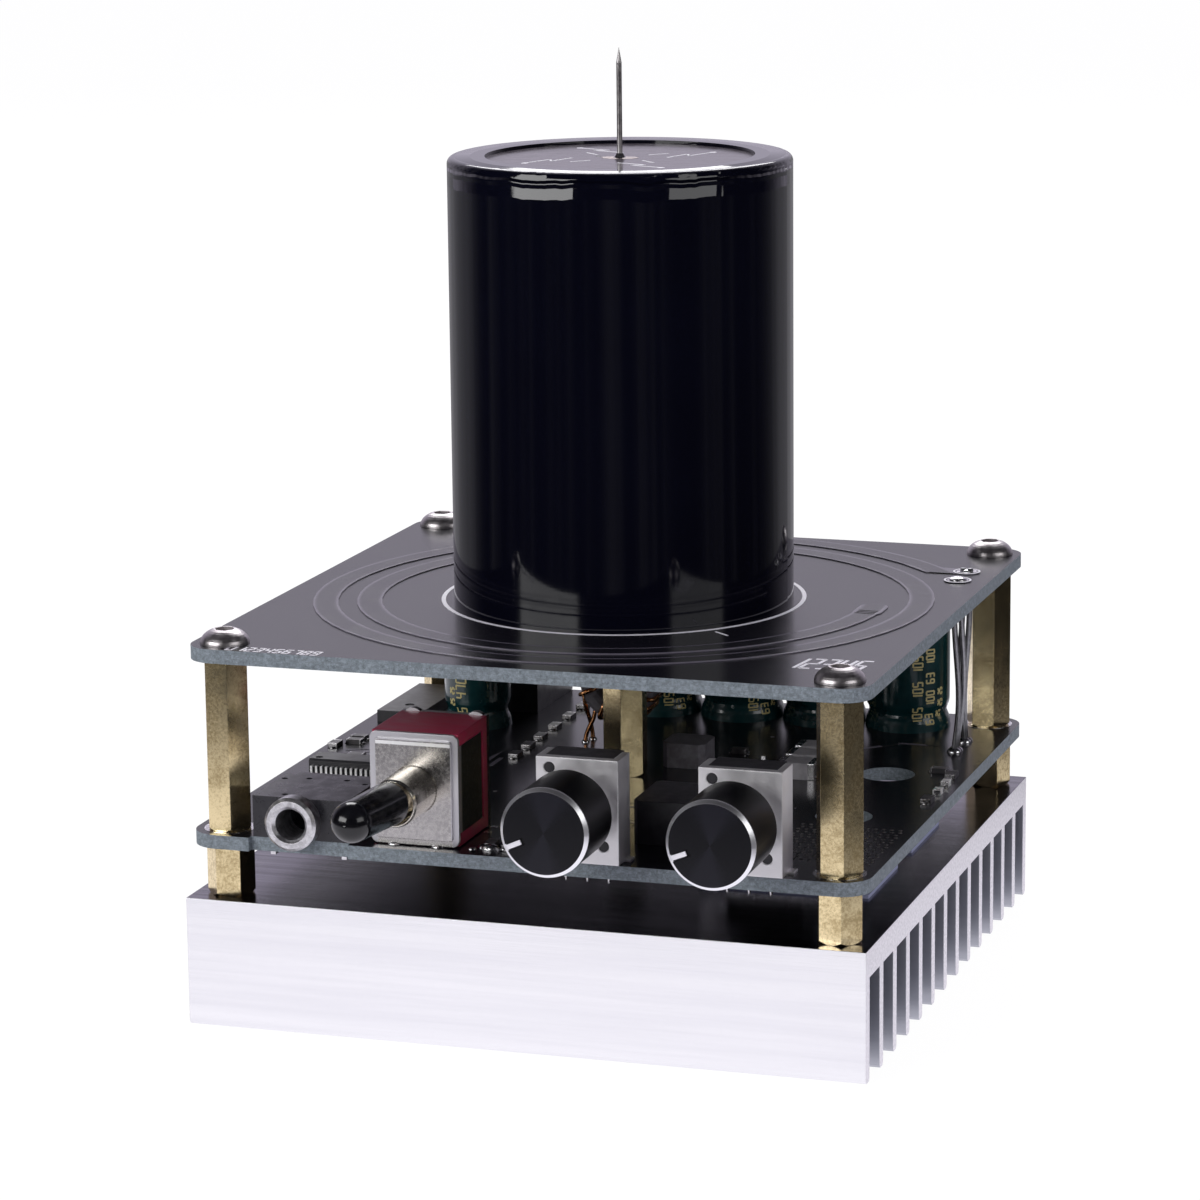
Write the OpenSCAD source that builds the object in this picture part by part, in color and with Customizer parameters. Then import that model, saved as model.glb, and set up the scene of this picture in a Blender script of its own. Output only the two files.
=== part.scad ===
// Desktop resonant transformer: heatsink, driver board, coil board and sleeved secondary coil.
// Millimetres. The origin is the centre of the heatsink's footprint, with the front towards -Y.

/* [Heatsink] */
// How far the heatsink stands out past a board's edge
sink_rim = 0.2; // [0:0.1:4]
// Height of the heatsink, fin tips to top
sink_h = 15; // [12:0.5:25]
// Thickness of the heatsink's plate
sink_plate = 3.2; // [3.2:0.1:5]
// Number of fins
fin_count = 14; // [8:1:16]
// Thickness of one fin
fin_t = 1.6; // [1:0.1:2]
// Chamfer along both edges of a fin's tip
fin_chamfer = 0.35; // [0.1:0.05:0.45]

/* [Boards and posts] */
// Width and depth of both boards
board_w = 79.6; // [72:0.2:90]
// Thickness of both boards
board_t = 1.6; // [1.2:0.2:2]
// Radius of a board's corners
board_corner = 3.5; // [1:0.5:4]
// Distance from a board's edge to the middle of a corner post
post_inset = 3.8; // [3.3:0.1:4.3]
// Length of a short post
lower_post = 6; // [5.8:0.2:12]
// Length of a long post
upper_post = 20; // [18:0.5:30]
// Width of a post across its flats
hex_af = 4.75; // [4.5:0.05:5]
// Radius of the screw thread
thread_r = 1.5; // [1.25:0.05:1.55]
// Length of the stud below a short post
lower_stud = 3; // [2:0.1:3.1]
// Depth of thread in a post's end
tap_depth = 4.8; // [4.8:0.1:5.4]
// Radius of a button head
head_r = 2.85; // [2.6:0.05:3]
// Height of a button head
head_h = 1.65; // [1.2:0.05:1.8]
// Width of the hexagon socket in a head
socket_af = 2; // [1.5:0.1:2.5]
// Depth of the hexagon socket
socket_depth = 1; // [0.6:0.1:1.1]
// Length of a screw below its head
screw_l = 6; // [5:0.5:6]

/* [Coil] */
// Outer radius of the coil's sleeve
sleeve_r = 20.1; // [19.5:0.1:21]
// Height of the sleeve above its board
sleeve_h = 52.4; // [40:0.2:70]
// Wall of the sleeve
sleeve_t = 0.5; // [0.3:0.05:0.8]
// Thickness of the sleeve's lip over the top disc
lip_t = 0.4; // [0.3:0.05:0.8]
// Radius of the opening in the lip
lip_r = 15.7; // [12:0.05:17]
// Rounding of the sleeve's upper rim
rim_round = 0.8; // [0.4:0.05:0.9]
// Thickness of the fine winding
winding_t = 0.4; // [0.2:0.05:0.6]
// Bare former above and below the fine winding
winding_margin = 2.2; // [1.8:0.1:8]
// Wall of the coil former
former_t = 1.5; // [1:0.1:2.5]
// Thickness of the base disc and the top disc
disc_t = 1.6; // [1:0.1:2]
// Radius of the needle
needle_r = 0.315; // [0.25:0.005:0.5]
// Height of the needle's tip above the sleeve
needle_rise = 12.4; // [8:0.1:20]
// Length of the needle's point
needle_point = 1.8; // [1:0.1:3]
// Width of the primary track
track_w = 3; // [2:0.1:3.4]
// Thickness of the primary track
track_t = 0.12; // [0.05:0.01:0.3]
// Distance from the board's edge to the middle of the track's start
track_inset = 9.7; // [9.3:0.1:12]
// Pitch of the track's turns
track_pitch = 5.2; // [4:0.1:5.3]

/* [Audio jack] */
// Width of the jack's moulding
jack_w = 11.4; // [10:0.1:12]
// Depth of the jack's moulding
jack_d = 11.5; // [10.5:0.1:14]
// Height of the jack's moulding
jack_h = 4.8; // [4.6:0.1:6]
// Radius of the jack's bore
jack_bore_r = 1.8; // [1.7:0.05:1.9]
// Height of the bore above the board
jack_axis_h = 2.15; // [2.1:0.05:2.3]
// Sideways offset of the bore in the moulding
jack_bore_off = -0.5; // [-1:0.1:1]
// Radius of the metal ring round the bore
jack_ring_r = 3.1; // [2.9:0.05:3.4]
// Length of the ring in front of the moulding
jack_ring_l = 2; // [1.5:0.1:3]
// Length of the metal barrel inside the moulding
jack_barrel_l = 3; // [2:0.1:4]
// Depth of the bore from the moulding's front
jack_bore_l = 10; // [8:0.1:10]

/* [Toggle switch] */
// Width of the switch's moulding
toggle_w = 10.2; // [9.6:0.1:10.6]
// Height of the switch's moulding
toggle_h = 12.9; // [12.5:0.1:14]
// Depth of the switch's moulding
toggle_d = 9.6; // [9:0.1:11]
// Distance of its front plate behind the board's edge
toggle_back = 1.8; // [1.2:0.1:2.4]
// Thickness of the front plate
plate_t = 0.5; // [0.4:0.05:0.8]
// Radius of the bushing
bushing_r = 2.75; // [2.5:0.05:2.8]
// Bore radius of the bushing
bushing_bore_r = 2.15; // [2.1:0.01:2.2]
// Length of the bushing in front of the plate
bushing_l = 7; // [6:0.1:8]
// Height of the bushing above the board
bushing_h = 6.6; // [6.4:0.1:7]
// Radius of the lever's rod
lever_r = 1; // [0.8:0.05:1.05]
// Length of the lever from its pivot to the middle of the cap's tip
lever_l = 16.3; // [14:0.1:18]
// Radius of the lever's cap
cap_r = 2.3; // [2.1:0.05:2.35]
// Upward tilt of the lever at rest, in degrees
lever_tilt = 4; // [-4:1:6]

/* [Knobs and potentiometers] */
// Width of a potentiometer
pot_w = 9.5; // [9:0.1:10]
// Height of a potentiometer
pot_h = 11.9; // [11.5:0.1:13]
// Depth of the die-cast frame
pot_frame_d = 4.2; // [4:0.1:5]
// Depth of the whole potentiometer
pot_d = 5; // [5:0.1:7]
// Height of a shaft above the board
shaft_h = 6.4; // [6:0.1:6.6]
// Radius of a shaft
shaft_r = 3; // [2.8:0.05:3.1]
// Radius of the boss round a shaft
boss_r = 3.5; // [3.4:0.05:3.8]
// Length of the boss in front of the frame
boss_l = 1.6; // [1:0.1:2.4]
// Gap between the frame and the back of a knob
knob_gap = 3; // [2.8:0.1:5]
// Radius of a knob
knob_r = 5.02; // [4.6:0.01:5.4]
// Length of a knob
knob_l = 8.7; // [7:0.1:14]
// Chamfer on a knob's front edge
knob_chamfer = 0.4; // [0.2:0.05:0.6]
// Width of a knob's pointer slot
pointer_w = 0.8; // [0.6:0.05:1]
// Length of a knob's pointer slot
pointer_l = 2.6; // [1.5:0.1:3.5]
// Angle of the left knob's pointer at rest, in degrees from +X
left_pointer = 204; // [180:1:240]
// Angle of the right knob's pointer at rest, in degrees from +X
right_pointer = 201.5; // [180:0.5:240]

/* [Parts on the driver board] */
// Radius of a large capacitor's can
can_r = 5; // [4:0.05:5.05]
// Height of a large capacitor
can_h = 16; // [12:0.5:17]
// Gap between two large capacitors
can_gap = 0.7; // [0.6:0.05:0.8]
// Radius of the small capacitor's can
small_can_r = 4; // [3.15:0.05:4.1]
// Height of the small capacitor
small_can_h = 14; // [11:0.5:17]
// Thickness of a capacitor's sleeve
can_sleeve_t = 0.15; // [0.1:0.01:0.2]
// Outer radius of the toroid core
toroid_r = 4.8; // [4.6:0.05:4.9]
// Hole radius of the toroid core
toroid_hole_r = 3; // [2.9:0.05:3.1]
// Width of the toroid core
toroid_w = 3.6; // [3:0.1:4]
// Height of the toroid's centre above the board
toroid_h = 8.1; // [7.5:0.1:9]
// Radius of the toroid's copper wire
copper_r = 0.25; // [0.2:0.01:0.25]
// Number of loops on the toroid
copper_loops = 16; // [8:1:16]
// Width and depth of the small moulded inductor
inductor_w = 5.3; // [4:0.1:5.6]
// Height of the small moulded inductor
inductor_h = 3; // [2:0.1:4]
// Width and depth of the low black inductor
block_w = 9.4; // [8:0.1:9.6]
// Height of the low black inductor
block_h = 5; // [3:0.1:6]
// Length of the control chip
chip_l = 9.2; // [8.9:0.1:10]
// Depth of the control chip's moulding
chip_d = 3.8; // [3.5:0.1:5]
// Height of the control chip
chip_h = 1.7; // [1.2:0.05:2]
// Pitch of the control chip's legs
leg_pitch = 0.635; // [0.5:0.005:0.65]
// Legs on each side of the control chip
leg_count = 14; // [8:1:14]
// Width of the flat power chip
power_chip_w = 5.9; // [5:0.1:6]
// Length of the flat power chip
power_chip_l = 15.4; // [12:0.1:15.6]
// Height of the flat power chip
power_chip_h = 1.5; // [1:0.1:2]
// Length of a ceramic capacitor
ceramic_l = 4.6; // [4:0.1:4.8]
// Width of a ceramic capacitor
ceramic_w = 3.2; // [2.5:0.1:3.4]
// Height of a ceramic capacitor
ceramic_h = 2; // [1:0.1:2.5]
// Width of the power inlet
inlet_w = 9; // [8.6:0.1:9.2]
// Depth of the power inlet
inlet_d = 14; // [13:0.1:14.4]
// Height of the power inlet
inlet_h = 11; // [10.6:0.1:13]
// Height of the power inlet's axis
inlet_axis_h = 6.3; // [6:0.1:6.4]
// Radius of the power inlet's hole
inlet_r = 3.2; // [3:0.05:3.3]
// Radius of the power inlet's centre pin
inlet_pin_r = 1; // [0.65:0.05:1.25]

/* [Power stage] */
// Distance from the board's edge to a power transistor's screw
power_inset = 9.6; // [9.2:0.1:10.8]
// Thickness of a thermal pad
pad_t = 0.4; // [0.2:0.05:0.5]
// Width of a thermal pad
pad_w = 13.6; // [11:0.1:14]
// Length of a thermal pad
pad_l = 20; // [18:0.1:21]
// Width of a power transistor
power_w = 10; // [9.8:0.1:10.4]
// Radius of a screwdriver hole in the driver board
access_r = 3.3; // [3:0.05:3.6]

/* [Lead wires] */
// Radius of a lead wire's strand
strand_r = 0.36; // [0.3:0.01:0.4]

/* [Hidden] */

// Facets of the round surfaces, and of the swept wires
$fn = 64;
wire_sides = 6;
strand_sides = 8;
// One overrun that carries every cut past its face
cut = 1;
// Clearances: in a thread, round a screw, round a pin, at a running fit, and between layers
thread_gap = 0.03;
screw_gap = 0.15;
pin_gap = 0.1;
running_gap = 0.06;
layer_gap = 0.04;

// Levels of the stack
z_low = sink_h + lower_post;
z_board = z_low + board_t;
z_coil_low = z_board + upper_post;
z_coil = z_coil_low + board_t;
z_sleeve = z_coil + sleeve_h;
z_disc = z_sleeve - lip_t;
front_y = -board_w / 2;
back_y = board_w / 2;
right_x = board_w / 2;
quarter_turn = 90;

// Widths that follow from the board's, and the flats of the posts on its left and right
sink_w = board_w + 2 * sink_rim;
post_span = board_w - 2 * post_inset;
post_flat = (post_span - hex_af) / 2;

// Gaps across the front, post to post: shares of the room left by jack, switch and potentiometers
front_room = 2 * post_flat - jack_w - toggle_w - 2 * pot_w;
front_shares = [0.0647, 0.1013, 0.3734, 0.3452];
jack_x = -post_flat + front_shares[0] * front_room + jack_w / 2;
toggle_x = jack_x + jack_w / 2 + front_shares[1] * front_room + toggle_w / 2;
left_pot_x = toggle_x + toggle_w / 2 + front_shares[2] * front_room + pot_w / 2;
right_pot_x = left_pot_x + pot_w + front_shares[3] * front_room;

// Gaps across the rear, post to post: shares of the room left by the inlet and the row of cans
can_pitch = 2 * can_r + can_gap;
rear_room = 2 * post_flat - inlet_w - 4 * can_pitch + can_gap;
rear_shares = [0.2864, 0.5759];
inlet_x = -post_flat + rear_shares[0] * rear_room + inlet_w / 2;
can_x = inlet_x + inlet_w / 2 + rear_shares[1] * rear_room + can_r;

// Posts: corner places, the turn of each hexagon, and radius to the hexagon's corners
post_signs = [[-1, -1], [1, -1], [1, 1], [-1, 1]];
upper_turns = [-6, -6, -4, 10];
lower_turns = [14, -12, 8, 20];
centre_turn = 36;
hex_r = hex_af / sqrt(3);

// Coil layers, from the sleeve inwards
winding_r = sleeve_r - sleeve_t - layer_gap;
former_r = winding_r - winding_t - layer_gap;
top_disc_r = winding_r;
disc_seat_r = former_r - former_t;
winding_h = z_disc - disc_t - z_coil - 2 * winding_margin;
needle_foot = 1.2;
needle_hole_gap = 0.04;

// Primary track: the rounded start, the exit bend and the two lead pads. Pads and wire feet are
// measured inwards from the board's right edge and from the rear right post
start_w = 3.4;
start_l = 6.2;
track_step = 6;
lead_pad_r = 1.65;
lead_hole_r = 0.85;
lead_pad_insets = [[3.9, 11.9], [3.8, 17.1]];
lead_foot_insets = [[4.4, 10.2], [4.4, 15.4]];
lead_pads = [for (d = lead_pad_insets) [right_x - d[0], post_span / 2 - d[1]]];
lead_feet = [for (d = lead_foot_insets) [right_x - d[0], post_span / 2 - d[1]]];
track_r = board_w / 2 - track_inset;
exit_angle = asin(lead_pads[0][1] / (track_r + 3 * track_pitch / 2));

// Jack, measured from the middle of its front face at the board's top
jack_setback = 0.8;
jack_notch_side = 0.3;
jack_sleeve_t = 0.5;
jack_ring_bevel = 0.35;
jack_pin_w = 0.6;
jack_pin_d = 1;
jack_pin_up = 2.6;
jack_pin_down = 2.8;
jack_dimple_r = 0.35;
jack_dimple_depth = 0.5;
jack_pin_shares = [[-0.4, 0.3], [-0.4, 0.72], [0.36, 0.3], [0.36, 0.72]];
jack_dimple_shares = [[-0.44, 0.71], [-0.2, 0.77], [0.2, 0.79], [0.43, 0.69], [-0.2, 0.12]];
jack_notch_share = 0.1;

// Toggle switch
toggle_lift = 0.15;
flange_w = toggle_w + 0.6 * plate_t;
panel_margin = 0.7;
panel_t = 0.35;
plate_corner = 0.8;
arm_t = 0.4;
arm_share = 0.78;
arm_d_share = 0.8;
toggle_foot_w = 1;
toggle_foot_span = 5.2;
bushing_bevel = 0.35;
bushing_rim = 0.3;
bushing_mouth = 1.1;
pivot_gap = 0.07;
pivot_y = 4;
chamber_w = 3.6;
chamber_d = 5.2;
chamber_h = 4.2;
paddle_l = 4.6;
paddle_r = 0.7;
bracket_t = 0.8;
ear_r = 1.3;
ear_rise = 0.35;
terminal_w = 1.1;
terminal_t = 0.6;
terminal_pitch = 4.7;
terminal_down = 2.8;
terminal_up = 1.2;
cap_start = 4.9;
cap_neck_r = 1.9;
cap_shoulder = 0.5;
cap_flare = 0.15;
cap_bore_l = 10;

// Potentiometers
pot_plate_t = 1;
pot_cheek_t = 0.8;
pot_wall = 0.05;
stake_r = 0.6;
stake_places = [[-3.2, 4.3], [3, -4.3]];
pot_pin_r = 0.38;
pot_pin_pitch = 2.5;
pot_pin_y = 3.3;
pot_pin_down = 3;
pot_pin_up = 1.2;
rotor_r = 3.4;
rotor_t = 0.8;
rotor_pocket_r = 3.8;
rotor_pocket_d = 1.4;
rotor_gap = 0.15;
lug_w = 1.6;
lug_out = 0.8;
lug_t = 0.3;
knob_bore_l = 7;
knob_hollow_r = 4.1;
knob_hollow_l = 1.2;
pointer_depth = 0.3;
pot_xs = [left_pot_x, right_pot_x];
pointers = [left_pointer, right_pointer];

// Capacitors: the row's gap to the board's edge, and the small can's to power chip and inlet
can_edge = 1.6;
can_y = back_y - can_edge - can_r;
small_can_gaps = [2.6, 2.8];
can_lead_r = 0.3;
can_lead_share = 1;
groove_h = 2.1;
groove_w = 0.75;
groove_depth = 0.38;
skirt_flare = 0.12;
sleeve_fold = 0.9;
can_lift = 0.4;
lead_drop = 1.5;

// Toroid: its middle, the gap's start angle, the arc its winding covers, and the lead places
toroid_shares = [-0.0603, 0.1671];
toroid_x = toroid_shares[0] * board_w;
toroid_y = toroid_shares[1] * board_w;
core_gap = 0.06;
core_chamfer = 0.5;
wind_from = -130;
wind_span = 332;
loop_rings = 24;
corner_power = 0.5;
copper_foot_offs = [[-4.6, 0], [-4.2, 1.7]];
copper_feet = [for (d = copper_foot_offs) [toroid_x + d[0], toroid_y + d[1]]];
copper_drop = 1.2;
copper_rise = 0.3;
rise_shares = [0.35, 0.7];

// Other parts on the board: places of their middles, most as shares of its width
inductor_shares = [0.0747, 0.0817];
inductor_bevel = 0.7;
block_shares = [0.191, -0.3216];
block_bevel = 0.5;
chip_shares = [-0.402, -0.1042];
chip_lift = 0.1;
chip_bevel = 0.28;
chip_dimple_r = 0.45;
chip_dimple_in = 1;
chip_margin = 0.15;
leg_w = 0.26;
leg_t = 0.15;
leg_out = 0.9;
leg_foot = 0.5;
power_chip_edge = 1.8;
power_chip_gap = 1.725;
power_chip_x = -right_x + power_chip_edge + power_chip_w / 2;
power_chip_y = post_flat - power_chip_gap - power_chip_l / 2;
power_chip_dimple_r = 0.6;
ceramic_shares = [0.255, 0.103];
ceramic_pitch = 4.2;
ceramic_count = 3;
inlet_overhang = 0.4;
inlet_face_d = 3.4;
inlet_hole_l = 9.5;
inlet_pin_back = 1;
inlet_tab_w = 2.4;
inlet_tab_t = 0.5;
inlet_tab_down = 2.6;
inlet_tab_back_shares = [0.08, 0.5];
small_can_x = power_chip_x + power_chip_w / 2 + small_can_gaps[0] + small_can_r;
small_can_y = back_y + inlet_overhang - inlet_d - small_can_gaps[1] - small_can_r;

// Small chip parts: a pair between switch and potentiometer, a column between inlet and cans, and
// the rest as shares of the board's width. Each has a quarter turn or none
chip_part_l = 2;
chip_part_w = 1.25;
chip_part_h = 0.6;
pair_shares = [[0.32, -0.448], [0.54, -0.452]];
column_share = 0.505;
column_shares = [0.05, 0.11, 0.17, 0.24, 0.31, 0.38];
board_shares = [
    [-0.483, 0.04, 1], [-0.46, 0.065, 0], [-0.462, 0.09, 0], [-0.425, -0.02, 0],
    [-0.385, -0.015, 0], [-0.35, -0.03, 1], [0.094, -0.4, 1], [0.094, -0.36, 1],
    [0.476, -0.045, 1], [0.476, 0.105, 1], [0.452, 0.13, 0], [0.13, 0.165, 0]];
pair_x = toggle_x + toggle_w / 2;
column_x = inlet_x + inlet_w / 2 + column_share * rear_shares[1] * rear_room;
chip_part_places = concat(
    [for (s = pair_shares) [pair_x + s[0] * front_shares[2] * front_room, s[1] * board_w, 1]],
    [for (s = column_shares) [column_x, s * board_w, 1]],
    [for (s = board_shares) [s[0] * board_w, s[1] * board_w, s[2]]]);
light_shares = [[0.48, 0.005], [0.48, 0.055]];
light_l = 1.6;
light_w = 0.9;
light_h = 0.7;

// Power stage, along the transistor from its screw towards the middle of the board
tab_t = 1.3;
tab_end = 2.8;
tab_hole_r = 1.8;
tab_l = 15.4;
power_body_l = 9.2;
power_body_t = 3.2;
power_leg_w = 0.8;
power_leg_t = 0.5;
power_leg_pitch = 2.54;
power_leg_out = 3.6;
power_leg_rise = 0.6;
power_y_shares = [-0.1558, 0.098];
power_screw_l = 4.4;
power_head_r = 2.6;
power_head_h = 1.6;
pad_edge = 4.7;

// Lead wires: shares of the way up at which each strand's route has its points
strand_gap = 0.86;
strand_drop = 0.8;
strand_top = 0.5;
strand_bows = [[-0.25, -0.6], [0.5, 0.6]];
bow_skew = 0.7;
strand_shares = [0.05, 0.13, 0.22, 0.31, 0.4, 0.5, 0.6, 0.71, 0.82, 0.92];

// Solder: radius and height of a joint's cone, and its gap round a pin
solder_r = 0.8;
solder_h = 0.55;
solder_rim = 0.12;
solder_gap = 0.02;

// Plan shapes and plain helpers

module rounded_square(w, r) {
    union() {
        square([w, w - 2 * r], center = true);
        square([w - 2 * r, w], center = true);
        for (s = post_signs)
            translate([s[0] * (w / 2 - r), s[1] * (w / 2 - r)])
                circle(r);
    }
}

module rounded_plate(w, h, t, r) {
    linear_extrude(t)
        union() {
            square([w, h - 2 * r], center = true);
            square([w - 2 * r, h], center = true);
            for (s = post_signs)
                translate([s[0] * (w / 2 - r), s[1] * (h / 2 - r)])
                    circle(r);
        }
}

module block(w, d, h) {
    translate([-w / 2, -d / 2, 0])
        cube([w, d, h]);
}

module ring(outer, inner, h) {
    rotate_extrude()
        translate([inner, 0])
            square([outer - inner, h]);
}

module forward() {
    rotate([90, 0, 0])
        children();
}

module at_posts() {
    for (i = [0:3])
        translate([post_signs[i][0] * post_span / 2, post_signs[i][1] * post_span / 2, 0])
            children();
}

// A tube swept along points, with its sides carried along by parallel transport

function unit(v) = v / norm(v);
function step_dir(p, i) = unit(p[min(i + 1, len(p) - 1)] - p[max(i - 1, 0)]);
function carried(n, t) = unit(n - (n * t) * t);

module swept_tube(path, r, sides, first) {
    last = len(path) - 1;
    normals = [for (i = 0, n = carried(first, step_dir(path, 0)); i <= last;
                    i = i + 1, n = i > last ? n : carried(n, step_dir(path, i))) n];
    rings = [for (i = [0:last])
                 let (t = step_dir(path, i), n = normals[i], b = cross(t, n))
                     for (k = [0:sides - 1])
                         path[i] + r * (cos(k * 360 / sides) * n + sin(k * 360 / sides) * b)];
    walls = [for (i = [0:last - 1], k = [0:sides - 1])
                 let (a = i * sides + k, b = i * sides + (k + 1) % sides)
                     for (f = [[a, b, b + sides], [a, b + sides, a + sides]]) f];
    foot = [for (k = [1:sides - 2]) [0, k + 1, k]];
    head = [for (k = [1:sides - 2]) [last * sides, last * sides + k, last * sides + k + 1]];
    polyhedron(points = rings, faces = [for (f = concat(walls, foot, head)) [f[0], f[2], f[1]]]);
}

// Heatsink

module fin_outline() {
    polygon([[0, fin_chamfer], [fin_chamfer, 0], [fin_t - fin_chamfer, 0],
             [fin_t, fin_chamfer], [fin_t, sink_h], [0, sink_h]]);
}

module heatsink() {
    color("#c9c8d2")
        difference() {
            translate([-sink_w / 2, 0, 0])
                rotate([90, 0, 90])
                    linear_extrude(sink_w)
                        union() {
                            translate([-sink_w / 2, sink_h - sink_plate])
                                square([sink_w, sink_plate]);
                            for (i = [0:fin_count - 1])
                                translate([-sink_w / 2 + i * (sink_w - fin_t) / (fin_count - 1), 0])
                                    fin_outline();
                        }
            at_posts()
                translate([0, 0, sink_h - sink_plate])
                    cylinder(r = thread_r + thread_gap, h = sink_plate + cut);
            at_power_screws()
                translate([0, 0, sink_h - sink_plate])
                    cylinder(r = thread_r + thread_gap, h = sink_plate + cut);
        }
}

// Posts and screws

module hexagon(h) {
    slope = hex_r + cut - hex_af / 2;
    intersection() {
        cylinder(r = hex_r, h = h, $fn = 6);
        rotate_extrude()
            polygon([[0, 0], [hex_af / 2, 0], [hex_r + cut, slope],
                     [hex_r + cut, h - slope], [hex_af / 2, h], [0, h]]);
    }
}

module tapped(h, from) {
    translate([0, 0, from])
        cylinder(r = thread_r + thread_gap, h = h);
}

module lower_posts() {
    color("#a08a3c")
        for (i = [0:3])
            translate([post_signs[i][0] * post_span / 2, post_signs[i][1] * post_span / 2, sink_h])
                difference() {
                    union() {
                        rotate([0, 0, lower_turns[i]])
                            hexagon(lower_post);
                        translate([0, 0, -lower_stud])
                            cylinder(r = thread_r, h = lower_stud + lower_post / 2);
                    }
                    tapped(tap_depth + cut, lower_post - tap_depth);
                }
}

upper_stud = board_t + tap_depth - screw_gap;

module upper_posts() {
    color("#a08a3c")
        for (i = [0:3])
            translate([post_signs[i][0] * post_span / 2, post_signs[i][1] * post_span / 2, z_board])
                difference() {
                    union() {
                        rotate([0, 0, upper_turns[i]])
                            hexagon(upper_post);
                        translate([0, 0, -upper_stud])
                            cylinder(r = thread_r, h = upper_stud + upper_post / 2);
                    }
                    tapped(tap_depth + cut, upper_post - tap_depth);
                }
}

module centre_post() {
    color("#a08a3c")
        translate([0, 0, z_board])
            difference() {
                rotate([0, 0, centre_turn])
                    hexagon(upper_post);
                tapped(tap_depth + cut, upper_post - tap_depth);
                tapped(tap_depth + cut, -cut);
            }
}

module button_screw(l, r, h) {
    crown = 63;
    difference() {
        union() {
            rotate_extrude()
                polygon(concat([[0, 0]],
                               [for (a = [0:9:crown]) [r * cos(a), h * sin(a) / sin(crown)]],
                               [[0, h]]));
            translate([0, 0, -l])
                cylinder(r = thread_r, h = l + h / 2);
        }
        translate([0, 0, h - socket_depth])
            cylinder(r = socket_af / sqrt(3), h = socket_depth + cut, $fn = 6);
    }
}

module board_screws() {
    color("#4a4650")
        at_posts()
            translate([0, 0, z_coil])
                button_screw(screw_l, head_r, head_h);
}

module centre_screws() {
    color("#4a4650") {
        translate([0, 0, z_coil + disc_t])
            button_screw(screw_l + disc_t, head_r, head_h);
        translate([0, 0, z_low])
            rotate([180, 0, 0])
                button_screw(screw_l, head_r, head_h);
    }
}

// Driver board, with a hole for every pin that passes through it

module board_blank() {
    difference() {
        linear_extrude(board_t)
            rounded_square(board_w, board_corner);
        at_posts()
            translate([0, 0, -cut])
                cylinder(r = thread_r + screw_gap, h = board_t + 2 * cut);
        translate([0, 0, -cut])
            cylinder(r = thread_r + screw_gap, h = board_t + 2 * cut);
    }
}

module pin_holes(r) {
    translate([0, 0, z_low - cut])
        cylinder(r = r + pin_gap, h = board_t + 2 * cut);
}

module slot_hole(w, d) {
    translate([0, 0, z_low - cut])
        block(w + 2 * pin_gap, d + 2 * pin_gap, board_t + 2 * cut);
}

module driver_board() {
    color("#2b2a31")
        difference() {
            translate([0, 0, z_low])
                board_blank();
            translate([jack_x, front_y, z_low - cut])
                block(jack_w + 2 * jack_notch_side, 2 * jack_setback, board_t + 2 * cut);
            at_power_screws()
                translate([0, 0, z_low - cut])
                    cylinder(r = access_r, h = board_t + 2 * cut);
            at_pot_pins()
                pin_holes(pot_pin_r);
            at_capacitor_leads()
                pin_holes(can_lead_r);
            for (p = copper_feet)
                translate([p[0], p[1], 0])
                    pin_holes(copper_r);
            for (p = strand_places())
                translate([p[0], p[1], 0])
                    pin_holes(strand_r);
            at_jack_pins()
                slot_hole(jack_pin_w, jack_pin_d);
            at_toggle_terminals()
                slot_hole(terminal_w, terminal_t);
            at_toggle_feet()
                slot_hole(toggle_foot_w, plate_t);
            at_inlet_tabs()
                slot_hole(inlet_tab_w, inlet_tab_t);
            at_power_legs()
                slot_hole(power_leg_t, power_leg_w);
        }
}

// Coil board, primary track and coil

module coil_board() {
    color("#2b2a31")
        translate([0, 0, z_coil_low])
            difference() {
                board_blank();
                for (p = lead_pads)
                    translate([p[0], p[1], -cut])
                        cylinder(r = lead_hole_r, h = board_t + 2 * cut);
            }
}

// The track is a band along half circles: front halves about the middle, rear ones half a pitch
// to the right of it, each half a pitch wider than the one before
function half_of(turn) = min(floor(turn / 180), 3);
function track_edge(turn, off) =
    let (half = half_of(turn), r = track_r + half * track_pitch / 2 + off)
        [(half % 2) * track_pitch / 2 + r * cos(turn), -r * sin(turn)];

module track_band() {
    last = 720 - exit_angle;
    bend = track_edge(last, 0);
    mitre = [cos(exit_angle), sin(exit_angle) + 1] / (1 + sin(exit_angle)) * track_w / 2;
    turns = [for (turn = [0:track_step:last - track_step / 2]) turn];
    polygon(concat([for (turn = turns) track_edge(turn, -track_w / 2)],
                   [bend - mitre, [lead_pads[0][0], bend[1] - track_w / 2],
                    [lead_pads[0][0], bend[1] + track_w / 2], bend + mitre],
                   [for (i = [len(turns) - 1:-1:0]) track_edge(turns[i], track_w / 2)]));
}

module primary_track() {
    color("#35343c")
        translate([0, 0, z_coil])
            linear_extrude(track_t)
                difference() {
                    union() {
                        track_band();
                        translate([track_r, 0])
                            square([start_w, start_l - start_w], center = true);
                        for (s = [-1, 1])
                            translate([track_r, s * (start_l - start_w) / 2])
                                circle(start_w / 2);
                        for (p = lead_pads)
                            translate(p)
                                circle(lead_pad_r);
                    }
                    for (p = lead_pads)
                        translate(p)
                            circle(lead_hole_r);
                }
}

module coil_former() {
    color("#d8d4c8")
        translate([0, 0, z_coil])
            ring(former_r, former_r - former_t, z_disc - disc_t - z_coil);
}

module secondary_winding() {
    color("#8a4a24")
        translate([0, 0, z_coil + winding_margin])
            ring(winding_r, former_r + layer_gap, winding_h);
}

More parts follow.
